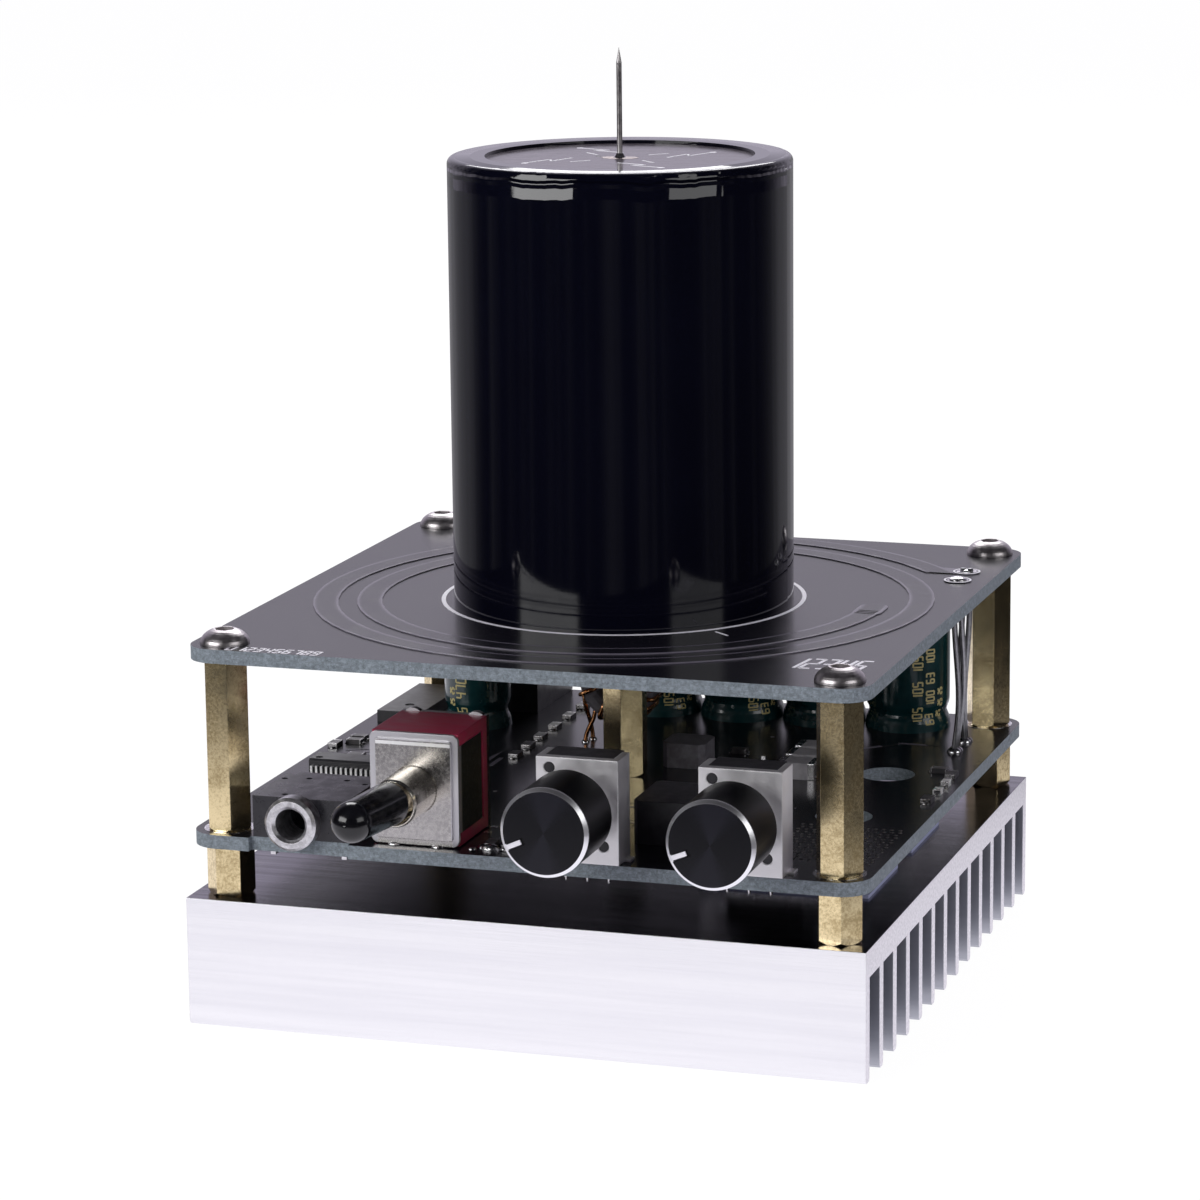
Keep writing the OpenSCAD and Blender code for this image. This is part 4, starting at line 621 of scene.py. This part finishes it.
def gloss_sleeve():
    """Shrunk sleeve: deep blue-black gloss. It ripples slowly, has drawn in round a groove under its squared rim,
    falls a little towards the rim's outer edge, and its upward lip is painted grey as a painted highlight. Heights
    are in metres, set against the depth under the sleeve's top."""
    f = Finish("gloss_sleeve", IOR=1.5)
    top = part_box("coil_sleeve")[1][2]
    slow = f.noise(1.0, 2, 0.4, f.stretched(42, 42, 9))
    lines = f.noise(1.0, 3, 0.5, f.stretched(5, 5, 2600))
    wobble = f.times(f.minus(f.noise(1.0, 3, 0.6, f.stretched(160, 160, 30)), 0.5), 0.0012)
    down = f.add(f.minus(top, f.z), wobble)
    groove = f.add(f.ramp(down, 0.00185, 0.0031, 0.0, 0.0002, smooth=False),
                   f.ramp(down, 0.0003, 0.0014, -0.00018, 0.0, smooth=False))
    short = f.math("MAXIMUM", f.minus(0.00068, f.math("MAXIMUM", down, 0.00028)), 0.0)
    square = f.times(f.math("POWER", short, 2.0), 750.0)
    fall = f.ramp(f.reach(f.x, f.y), 0.0174, 0.0192, 0.0, -0.00042, smooth=False)
    fall = f.times(fall, f.ramp(down, 0.0009, 0.0013, 1.0, 0.0))
    haze = f.noise(70, 4, 0.6)
    # Painted highlight: the upward face of the lip is painted grey
    lip_highlight = f.times(f.ramp(f.sides()[2], 0.7, 0.95), f.ramp(down, 0.0002, 0.0005, 1.0, 0.0))
    black = f.blend(haze, (0.0014, 0.0014, 0.004), (0.0022, 0.0026, 0.0075))
    f.colour(f.blend(lip_highlight, black, (0.085, 0.085, 0.1)))
    f.rough(f.ramp(haze, 0.3, 0.75, 0.04, 0.08))
    ripples = f.add(f.times(slow, 0.00009), f.times(lines, 0.0000012))
    height = f.add(groove, fall, square, ripples)
    return f.relief(height, 1.0, 1.0).on("coil_sleeve")


def moulded(name, low, high, *nodes, rough=0.36, depth=0.000006, edge=0.00012):
    """Moulded plastic: fine grain, slight clouding and softened edges."""
    f = Finish(name, IOR=1.5)
    cloud = f.noise(650, 4, 0.6)
    f.colour(f.blend(f.ramp(cloud, 0.3, 0.7), low, high))
    f.rough(f.ramp(cloud, 0.3, 0.7, rough - 0.05, rough + 0.07))
    return f.relief(f.noise(2200, 3, 0.65), depth, 0.8, edge=edge).on(*nodes)


def red_moulding():
    """Glossy crimson plastic with faint flow marks."""
    f = Finish("red_moulding", IOR=1.5)
    flow = f.noise(1.0, 4, 0.6, f.stretched(240, 600, 900))
    f.colour(f.blend(f.ramp(flow, 0.3, 0.7), (0.27, 0.007, 0.04), (0.36, 0.012, 0.06)))
    f.rough(f.ramp(flow, 0.3, 0.7, 0.3, 0.4))
    return f.relief(f.noise(1800, 3, 0.6), 0.000003, 0.7, edge=0.0002).on("toggle_body")


def spun_knob(hand):
    """Black anodised knob: rings turned into its front face, a painted fan highlight on it, a bright cut rim, a
    fine matt side.
    """
    f = Finish(hand + "_spun_black", IOR=1.32)
    low, high = (Vector(c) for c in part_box(hand + "_knob"))
    dx, dz = f.minus(f.x, (low.x + high.x) / 2), f.minus(f.z, (low.z + high.z) / 2)
    r, face_at = f.reach(dx, dz), low.y
    front = f.ramp(f.y, face_at + 0.0001, face_at + 0.0002, 1.0, 0.0)
    rings = f.make("TexNoise", noise_dimensions="1D")
    f.join(f.times(r, 9000.0), rings.inputs["W"])
    rings.inputs["Scale"].default_value = 1.0
    rings.inputs["Detail"].default_value = 3
    rim = f.times(f.near(f.y, face_at + 0.00028, 0.00027, 0.00003), f.near(r, 0.00482, 0.00018, 0.00003))
    side = f.noise(1500, 3, 0.6)
    angle = f.math("ARCTAN2", dx, dz)
    # Painted highlight: a bow-tie fan lightens the black front face; the rings add their own tone
    fan_highlight = f.math("POWER", f.math("ABSOLUTE", f.math("COSINE", f.minus(angle, 0.12))), 9.0)
    shine = f.times(f.add(f.times(fan_highlight, 1.2), f.times(rings.outputs["Fac"], 0.5)), front)
    black = f.blend(shine, (0.002, 0.002, 0.003), (0.011, 0.011, 0.016))
    f.colour(f.blend(rim, black, (0.9, 0.9, 0.93)))
    f.join(rim, f.skin.inputs["Metallic"])
    f.rough(f.blend(rim, f.blend(front, (0.36, 0.36, 0.36), (0.22, 0.22, 0.22)), (0.34, 0.34, 0.34)))
    height = f.add(f.times(rings.outputs["Fac"], front), f.times(side, 0.3))
    return f.relief(height, 0.000006, 0.8).on(hand + "_knob")


def shrink_green():
    """Glossy dark green sleeve over a can, a little paler in soft clouds."""
    f = Finish("shrink_green", IOR=1.5, Coat_Weight=0.3, Coat_Roughness=0.05)
    cloud = f.noise(260, 4, 0.6)
    f.colour(f.blend(f.ramp(cloud, 0.3, 0.7), (0.0028, 0.022, 0.024), (0.006, 0.04, 0.042)))
    f.rough(f.ramp(cloud, 0.3, 0.7, 0.14, 0.24))
    wave = f.noise(1.0, 3, 0.5, f.stretched(500, 500, 200))
    cans = ["capacitor_%d" % i for i in (1, 2, 3, 4)]
    return f.relief(wave, 0.00002, 0.6).on(*cans, "small_capacitor")


def enamelled_copper():
    """Bright copper wire under clear enamel, with darker patches."""
    f = Finish("enamelled_copper", Metallic=1.0, Coat_Weight=0.5, Coat_Roughness=0.06)
    cloud = f.noise(900, 4, 0.6)
    f.colour(f.blend(f.ramp(cloud, 0.3, 0.7), (0.5, 0.2, 0.07), (0.85, 0.42, 0.19)))
    f.rough(f.ramp(cloud, 0.3, 0.7, 0.16, 0.28))
    return f.relief(f.noise(1.0, 3, 0.6, f.stretched(1500, 400, 1500)), 0.00002, 0.6)


def wound_copper():
    """The fine coil: level turns of hair-thin wire with painted highlights and painted shade between turns, seen
    only where the sleeve is opened.
    """
    f = Finish("wound_copper", Metallic=1.0)
    turns = f.make("TexWave", bands_direction="Z")
    f.join(f.place, turns.inputs["Vector"])
    turns.inputs["Scale"].default_value = 900
    # Painted highlight and shade: colour runs from dark copper in the gaps to bright copper on each turn
    f.colour(f.blend(turns.outputs["Fac"], (0.3, 0.12, 0.05), (0.75, 0.36, 0.16)))
    f.rough(f.ramp(f.noise(400, 3, 0.6), 0.3, 0.7, 0.25, 0.4))
    return f.relief(turns.outputs["Fac"], 0.00005, 0.8).on("secondary_winding")


def silicone_pad():
    """Soft blue thermal pad with a woven glass core showing through."""
    f = Finish("silicone_pad", IOR=1.43)
    weave = f.cells(1400)
    f.colour(f.blend(f.noise(500, 4, 0.6), (0.42, 0.47, 0.7), (0.6, 0.64, 0.84)))
    f.rough(f.ramp(weave, 0.1, 0.6, 0.5, 0.65))
    return f.relief(weave, 0.00003, 0.6).on("thermal_pads")


def lamp_lens():
    """Small clear lamp body with a warm green core."""
    f = Finish("lamp_lens", IOR=1.5, Transmission_Weight=0.2)
    core = f.cells(900)
    f.colour(f.blend(f.ramp(core, 0.1, 0.6), (0.42, 0.68, 0.56), (0.82, 0.82, 0.76)))
    f.rough(f.ramp(core, 0.1, 0.6, 0.15, 0.3))
    return f.relief(core, 0.00002, 0.5).on("status_lights")


masked_board()
disc_mask()
gloss_sleeve()
red_moulding()
shrink_green()
copper = enamelled_copper()
wound_copper()
silicone_pad()
lamp_lens()
moulded("jack_plastic", (0.012, 0.012, 0.015), (0.024, 0.023, 0.028), "jack_body", rough=0.3)
moulded("case_plastic", (0.012, 0.012, 0.014), (0.022, 0.021, 0.025), "left_pot_case", "right_pot_case",
        rough=0.42)
moulded("cap_rubber", (0.0035, 0.0035, 0.0045), (0.006, 0.006, 0.008), "toggle_cap",
        rough=0.16, depth=0.000003, edge=None)
moulded("block_plastic", (0.013, 0.013, 0.016), (0.028, 0.027, 0.032), "shielded_inductor", rough=0.4)
moulded("chip_plastic", (0.02, 0.02, 0.023), (0.035, 0.034, 0.038), "control_chip", "power_chip", rough=0.45)
moulded("inlet_plastic", (0.014, 0.014, 0.016), (0.024, 0.024, 0.027), "inlet_body", rough=0.38)
moulded("power_plastic", (0.015, 0.015, 0.017), (0.03, 0.029, 0.032), "power_transistors", rough=0.48)
moulded("former_plastic", (0.5, 0.48, 0.42), (0.66, 0.63, 0.56), "coil_former", rough=0.45)
moulded("grey_ferrite", (0.09, 0.085, 0.095), (0.17, 0.165, 0.18), "power_inductor", "toroid_core",
        rough=0.5, depth=0.00001)
moulded("fired_ceramic", (0.28, 0.275, 0.285), (0.42, 0.41, 0.42), "ceramic_capacitors", rough=0.4)
moulded("small_chips", (0.02, 0.019, 0.022), (0.06, 0.055, 0.055), "chip_parts", rough=0.4)

spun_knob("left")
spun_knob("right")


def print_ink(name, low, high):
    """Matt printing ink, slightly uneven in tone and thickness."""
    f = Finish(name, IOR=1.5)
    f.colour(f.blend(f.noise(2500, 4, 0.7), low, high)).rough(0.4)
    return f.relief(f.noise(2500, 3, 0.6), 0.00001, 0.6)


white = print_ink("printed_white", (0.74, 0.74, 0.77), (0.92, 0.92, 0.95))
gold = print_ink("printed_gold", (0.45, 0.38, 0.14), (0.66, 0.58, 0.27))


# ---- Levels and places shared with the solids, in millimetres

z_under, z_board = (corner[2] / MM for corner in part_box("driver_board"))
z_coil_under, z_coil = (corner[2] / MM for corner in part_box("coil_board"))
z_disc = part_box("top_disc")[1][2] / MM
# A print starts this far inside its board, so that no gap shows under it
SUNK = 0.004
# The two pads on the coil board that take the leads, (x, y)
LEAD_PADS = ((35.9, 24.1), (36.0, 18.9))


def toroid_turns():
    """Copper wire round the ring core: phi grows round the ring with each turn, while psi follows a rounded square
    across its section, centre + (rho cos phi, y, rho sin phi); both ends are eased down through the board."""
    loops, per, r, ring_r, gap = 21, 48, 0.27, 3.9, 0.06
    head_foot, tail_foot = np.array([-9.4, 13.3]), np.array([-9.0, 15.0])
    k = np.arange(loops * per + 1)
    phi = np.radians(-130 + 332 * k / (loops * per))
    psi = 2 * np.pi * k / per
    wave = np.stack([np.cos(psi), np.sin(psi)])
    squared = np.sign(wave) * np.abs(wave) ** 0.55
    rho, y = ring_r + (0.9 + gap + r) * squared[0], (1.8 + gap + r) * squared[1]
    centre = np.array([-4.8, 13.3, z_board + 8.1])
    ring = centre + np.stack([rho * np.cos(phi), y, rho * np.sin(phi)], -1)
    out = np.stack([np.cos(psi) * np.cos(phi), np.sin(psi), np.cos(psi) * np.sin(phi)], -1)

    def drop(top, foot):
        low = z_board + 0.3
        share = np.array([0.35, 0.7])[:, None]
        ease = share**2 * (3 - 2 * share)
        mid_points = np.hstack([foot + (top[:2] - foot) * ease, low + (top[2] - low) * share])
        return np.vstack([[*foot, z_under - 1.2], [*foot, low], mid_points, top])

    head = smoothed(drop(ring[0], head_foot), 24)
    tail = smoothed(drop(ring[-1], tail_foot), 24)[::-1]
    path = np.vstack([head[:-1], ring, tail[1:]])
    side = np.vstack([np.tile(out[0], (len(head) - 1, 1)), out, np.tile(out[-1], (len(tail) - 1, 1))])
    piece = tubes("toroid_turns", [path], [side], r, copper)
    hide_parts("toroid_winding")


def lead_strands():
    """Two tinned leads of two strands each: foot to pad with an eased sway, each strand half a gap off its lead's
    middle, on the side (sin turn, cos turn)."""
    feet, pads = np.array([[35.4, 25.8], [35.4, 20.6]]), np.array(LEAD_PADS)
    bows, gap, quarter = np.array([[-0.25, -0.6], [0.5, 0.6]]), 0.86, np.pi / 2
    low, high = z_board, z_coil_under
    s = np.linspace(0.04, 0.96, 40)[:, None]
    ease, sway = s * s * (3 - 2 * s), np.sin(np.pi * s**0.7) ** 2

    def off(turn):
        return gap * np.hstack([np.sin(turn), np.cos(turn)])

    paths = []
    for foot, pad, bow in zip(feet, pads, bows):
        for j in (-0.5, 0.5):
            flat = foot + (pad - foot) * ease + bow * sway + j * off(quarter * ease)
            first, last = foot + j * off(np.zeros(1)), pad + j * off(np.full(1, quarter))
            rise = np.hstack([flat, low + (high - low) * s])
            paths.append(np.vstack([[*first, z_under - 0.8], [*first, low], rise, [*last, high],
                                    [*last, z_coil + 0.5]]))
    paths = [smoothed(p, 120) for p in paths]
    piece = tubes("lead_strands", paths, [(1, 0, 0)] * 4, 0.36, strand_metal, sides=16)
    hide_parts("lead_wires")


toroid_turns()
lead_strands()


# ---- Prints on the boards and the disc


def laid(strokes, z, place=(0, 0), angle=0.0):
    """Flat strokes (u, v) turned by an angle in degrees about a place and laid at height z."""
    c, n = math.cos(math.radians(angle)), math.sin(math.radians(angle))
    slew = np.array([[c, n], [-n, c]])
    flat = [np.asarray(one, float) @ slew + place for one in strokes]
    return [np.hstack([one, np.full((len(one), 1), z)]) for one in flat]


def zigzag(*points):
    """Strokes between successive points, three points each."""
    return [np.linspace(a, b, 3) for a, b in zip(points[:-1], points[1:])]


def coil_board_print():
    """White ring round the sleeve, plain numbers at two corners, a small tick, rings and solder round the two lead
    pads, and a short comb over the track's start."""
    up = z_coil - SUNK
    a = np.linspace(0, 2 * np.pi, 181)
    ring = np.stack([21.35 * np.cos(a), 21.35 * np.sin(a)], -1)
    ribbons("sleeve_ring_print", laid([ring], up), 0.5, 0.03, white)
    marks = laid(digit_strokes("0123456789", 0.72, 1.7, 1.14, 0.12), up, (-34.6, -39.4))
    bold = laid(digit_strokes("12345", 1.15, 4.6, 1.78, 0.22), up, (28.3, -31.3), 4)
    ribbons("bold_numbers", bold, 0.42, 0.03, white)
    marks += laid(zigzag((16.0, -15.9), (17.9, -17.5)), up)
    ribbons("corner_numbers", marks, 0.24, 0.03, white)
    pads = [(*pad, z_coil) for pad in LEAD_PADS]
    edge = [[1.42, 0.115], [1.66, 0.115], [1.66, 0.15], [1.42, 0.15], [1.42, 0.115]]
    turned("lead_pad_rings", edge, pads, white)
    tinned = [[0.84, 0.1], [1.3, 0.1], [1.26, 0.16], [0.84, 0.17], [0.84, 0.1]]
    turned("lead_pads", tinned, pads, tin)
    balls("lead_pad_solder", np.array(pads)[::-1] + [[0, 0, 0.15], [0, 0, 0.12]],
          [(1.15, 1.15, 0.42), (0.7, 0.75, 0.3)], tin)
    comb = [np.linspace((28.9, y), (31.2, y), 3) for y in (-0.75, 0, 0.75)]
    comb = laid(comb, z_coil + 0.11, (0, 0.6), -4)
    ribbons("track_comb", comb, 0.28, 0.05, masked)


def disc_print():
    """Pale zigzags and dots set evenly round the needle, a bare oval pad and solder under it, and one hole drawn
    as a flat dark disc of painted shade.
    """
    up, dot_r = z_disc - SUNK, 11.9
    bolt = [(5.2, -1.9), (8.4, 0.5), (8.1, -1.2), (11.6, 1.1)]
    tail = [(4.0, 1.5), (6.6, 2.0)]
    marks = []
    for angle in (35, 125, 215, 305):
        marks += laid(zigzag(*bolt), up, angle=angle) + laid(zigzag(*tail), up, angle=angle)
    ribbons("disc_zigzags", marks, 0.3, 0.02, white)
    dots = [(dot_r * math.cos(math.radians(t)), dot_r * math.sin(math.radians(t)), z_disc)
            for t in (41, 131, 221, 311)]
    balls("disc_dots", dots, [(0.42, 0.42, 0.03)], white)
    balls("needle_pad", [(0, 0, z_disc)], [(2.3, 1.5, 0.05)], pad_copper)
    balls("needle_solder", [(0, 0, z_disc)], [(0.62, 0.58, 0.36)], leg_metal)
    balls("disc_hole", [(-2.9, 1.0, z_disc)], [(0.36, 0.36, 0.04)], dark)


def post_pads():
    """A flat tinned ring on the driver board under the foot of each long corner post."""
    ring = [[1.7, -0.01], [2.95, -0.01], [2.95, 0.03], [1.7, 0.035], [1.7, -0.01]]
    places = [(x, y, z_board) for x in (-36, 36) for y in (-36, 36)]
    turned("post_pads", ring, places, tin)


def end_caps(name, node, length, over, look):
    """Metal caps over both ends of every small part in a node, along its longer side."""
    middles, sizes = solid_boxes(node)
    along = np.where((sizes[:, 0] >= sizes[:, 1])[:, None], [[1, 0, 0]], [[0, 1, 0]])
    long = (sizes * along).sum(1, keepdims=True)
    cap = sizes * (1 - along) + length * along + over
    centres = [middles + side * along * (long - length) / 2 for side in (-1, 1)]
    rounded_boxes(name, np.concatenate(centres), np.tile(cap, (2, 1)), 0.1, look)
    feet = [middles + side * along * (long / 2 + 0.05) for side in (-1, 1)]
    feet = np.concatenate(feet) * [1, 1, 0] + [0, 0, z_board + 0.02]
    wide = np.tile((sizes * [1, 1, 0] * (1 - along)).sum(1)[:, None], (2, 1))
    radii = np.where(np.tile(along, (2, 1)) > 0, 0.3, wide * 0.42)
    radii[:, 2] = 0.2
    balls(name + "_solder", feet, radii, cap_metal, steps=8)


def can_marks():
    """Golden numbers on the sleeves of the cans, running upwards: angle = start - v / r, height = foot + u, and
    the sleeve's own radius, r - 0.38 exp(-((z - 2.1) / 0.75)^2) + 0.12 exp(-z / 0.75). A column is its text, the
    digits' height, its angle in degrees and the height of its foot."""
    lines, ups = [], []
    tall_columns = [("105 105 105 105", 1.2, -56, 1.0), ("63 100 63 100", 1.1, -38, 1.0),
                    ("25 25 25", 0.7, -23, 1.8), ("470 35 470", 1.4, -150, 2.9), ("105 105 105", 1.2, 76, 1.0),
                    ("63 100 63", 1.1, 94, 1.0)]
    small_columns = [("35 470 35", 1.4, -92, 1.2), ("25 25", 0.7, -116, 3.0), ("470 35", 1.3, 80, 1.2)]
    cans = [(turn, i * 10.7 - 5.7, 33.2, 5.195, 14.9, tall_columns) for i, turn in enumerate((0, 4, 9, 0))]
    for slew, cx, cy, r, tall, columns in cans + [(0, -25.5, 19.4, 4.195, 12.9, small_columns)]:
        for text, size, turn, rise in columns:
            for stroke in digit_strokes(text, size * 0.42, size, size * 0.68):
                a = math.radians(turn + slew) - stroke[:, 1] / r
                z = rise + stroke[:, 0]
                if z.max() < tall:
                    n = np.stack([np.cos(a), np.sin(a), 0 * a], -1)
                    out = r - 0.38 * np.exp(-(((z - 2.1) / 0.75) ** 2)) + 0.12 * np.exp(-z / 0.75)
                    lines.append(n * out[:, None] + np.stack([cx + 0 * a, cy + 0 * a, z_board + z], -1))
                    ups.append(n)
    ribbons("can_marks", lines, 0.2, 0.02, gold, ups=ups)


def via_field():
    """A patch of plated vias on the driver board, every other row a quarter millimetre over, and a few loose ones
    about the board. The patch keeps clear of the post in its corner."""
    x, y = np.meshgrid(np.arange(26.6, 38.4, 0.95), np.arange(-31.6, -16.8, 1.05))
    x = x + 0.25 * (np.arange(len(y)) % 2)[:, None]
    places = np.stack([x.ravel(), y.ravel(), np.full(x.size, z_board)], -1)
    post = np.array([36, -36, z_board])
    places = places[(np.linalg.norm(places - post, axis=1) > 3.6) & (places[:, 0] < 38.9)]
    loose = [(-21.5, -4.2), (-23.2, -1.1), (-19.0, 2.2), (-26.4, 3.0), (-30.0, 6.0), (-33.2, 10.6),
             (-12.2, -12.4), (-8.6, -17.0), (3.2, -12.0), (9.0, -14.5), (21.5, -11.0), (17.5, -16.0),
             (12.0, 22.0), (-2.0, -24.0)]
    places = np.vstack([places, [(*p, z_board) for p in loose]])
    rim = [[0.12, -0.01], [0.27, -0.01], [0.25, 0.03], [0.12, 0.03], [0.12, -0.01]]
    turned("vias", rim, places, via_metal, sides=10)


def board_traces():
    """Raised tracks under the mask of the driver board, and bare pads beside its chips."""
    runs = [[(-36.5, 0), (-30, 3.5), (-22, 3.5)], [(-36.5, 1.6), (-30, 5.1), (-24, 5.1)],
            [(-37, 8.5), (-30, 12), (-22, 12)], [(-24, -4), (-18, -1), (-18, 9)],
            [(-22.6, -4), (-16.8, -1), (-16.8, 3)], [(-8, -20), (-3, -15), (8, -15)],
            [(-8, -18), (-3.6, -13.4), (6, -13.4)], [(4, -18), (8, -22), (8, -27)],
            [(12, -6), (18, -12), (24, -12)], [(12, -4.6), (18.4, -10.4), (24, -10.4)],
            [(23, 18), (28, 23), (33, 23)]]
    lines = laid([stroke for run in runs for stroke in zigzag(*run)], z_board - 0.01)
    ribbons("driver_tracks", lines, 0.55, 0.05, masked)
    rows = [(-26.5 - 1.7 * i, 1.0 + 0.8 * i, z_board) for i in range(4)]
    rows += [(-20.4 + 1.5 * i, -5.4, z_board) for i in range(4)]
    rows += [(x, y, z_board) for x, y in ((-6.9, -30.0), (-6.9, -27.6), (4.2, -28.0), (5.8, -28.0))]
    rounded_boxes("bare_pads", rows, [(0.9, 0.7, 0.06)] * len(rows), 0.02, tin)
    legs = solid_boxes("control_chip_legs")[0]
    side = np.where(legs[:, 1] > legs[:, 1].mean(), 1, -1)[:, None]
    feet = legs * [1, 1, 0] + side * [0, 0.3, 0] + [0, 0, z_board]
    rounded_boxes("leg_pads", feet, [(0.34, 1.1, 0.09)] * len(feet), 0.03, tin)


def loose_solder():
    """Uneven solder left by hand at the board's front edge, at the switch's feet, and round the lead wires and the
    two ends of the ring core's wire."""
    # x, y and the three radii
    places = [(-4.9, -36.6, 0.9, 0.7, 0.5), (-4.0, -37.4, 1.15, 0.7, 0.75), (-2.6, -36.4, 0.7, 0.8, 0.5),
              (-1.5, -37.2, 0.6, 0.5, 0.35), (-3.2, -35.1, 0.6, 0.6, 0.4), (-6.1, -37.6, 0.5, 0.4, 0.3),
              (-15.3, -37.9, 0.75, 0.4, 0.3), (-10.1, -37.9, 0.75, 0.4, 0.3),
              (35.4, 20.2, 0.9, 0.75, 0.75), (35.4, 21.1, 0.9, 0.75, 0.7), (35.4, 25.4, 0.9, 0.75, 0.75),
              (35.4, 26.3, 0.9, 0.75, 0.7), (-9.4, 13.3, 0.5, 0.5, 0.4), (-9.0, 15.0, 0.5, 0.5, 0.4)]
    spots = np.array(places)
    centres = spots[:, :2] @ np.eye(2, 3) + [0, 0, z_board]
    balls("loose_solder", centres, spots[:, 2:], blob_metal)


post_pads()
masked = masked_track()
# Painted shade: a flat dark disc stands for the shade inside the disc's hole
dark = Finish("painted_hole_shade", IOR=1.5)
dark.colour(dark.blend(dark.noise(900), (0.01, 0.01, 0.012), (0.03, 0.028, 0.03))).rough(0.3)
pad_copper = plated("tarnished_pad", (0.2, 0.165, 0.165), (0.34, 0.29, 0.28), rough=0.3, speck=0.3, edge=None)
cap_metal = plated("chip_end_metal", (0.16, 0.155, 0.165), (0.5, 0.49, 0.5), rough=0.2, speck=0.3, edge=None)
via_metal = plated("via_metal", (0.1, 0.095, 0.1), (0.22, 0.21, 0.21), rough=0.3, speck=0.2, edge=None)
blob_metal = plated("solder_blobs", (0.6, 0.6, 0.63), (0.85, 0.84, 0.87), rough=0.14, speck=0.9, edge=None)
coil_board_print()
disc_print()
can_marks()
via_field()
board_traces()
loose_solder()
end_caps("chip_caps", "chip_parts", 0.26, 0.02, cap_metal)
end_caps("ceramic_caps", "ceramic_capacitors", 0.8, 0.05, tin)
end_caps("light_caps", "status_lights", 0.3, 0.04, tin)


def pointer_lines():
    """The painted line in each knob's slot: a thin box laid along the pointer's angle on the front face."""
    for hand, angle in (("left", 204.0), ("right", 201.5)):
        low, high = (Vector(c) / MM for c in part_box(hand + "_knob"))
        cx, cz, front = (low.x + high.x) / 2, (low.z + high.z) / 2, low.y
        a = math.radians(angle)
        along, across = np.array([math.cos(a), math.sin(a)]), np.array([-math.sin(a), math.cos(a)])
        flat = np.array([[4.6, -0.27], [4.6, 0.27], [2.9, 0.27], [2.9, -0.27]])
        xz = flat[:, :1] * along + flat[:, 1:] * across + [cx, cz]
        rows = [np.stack([xz[:, 0], np.full(4, y), xz[:, 1]], -1) for y in (front + 0.29, front + 0.08)]
        finished(hand + "_dial_line", np.stack(rows) * MM, grid_faces(2, 4), white, body=hand + "_dial")


pointer_lines()

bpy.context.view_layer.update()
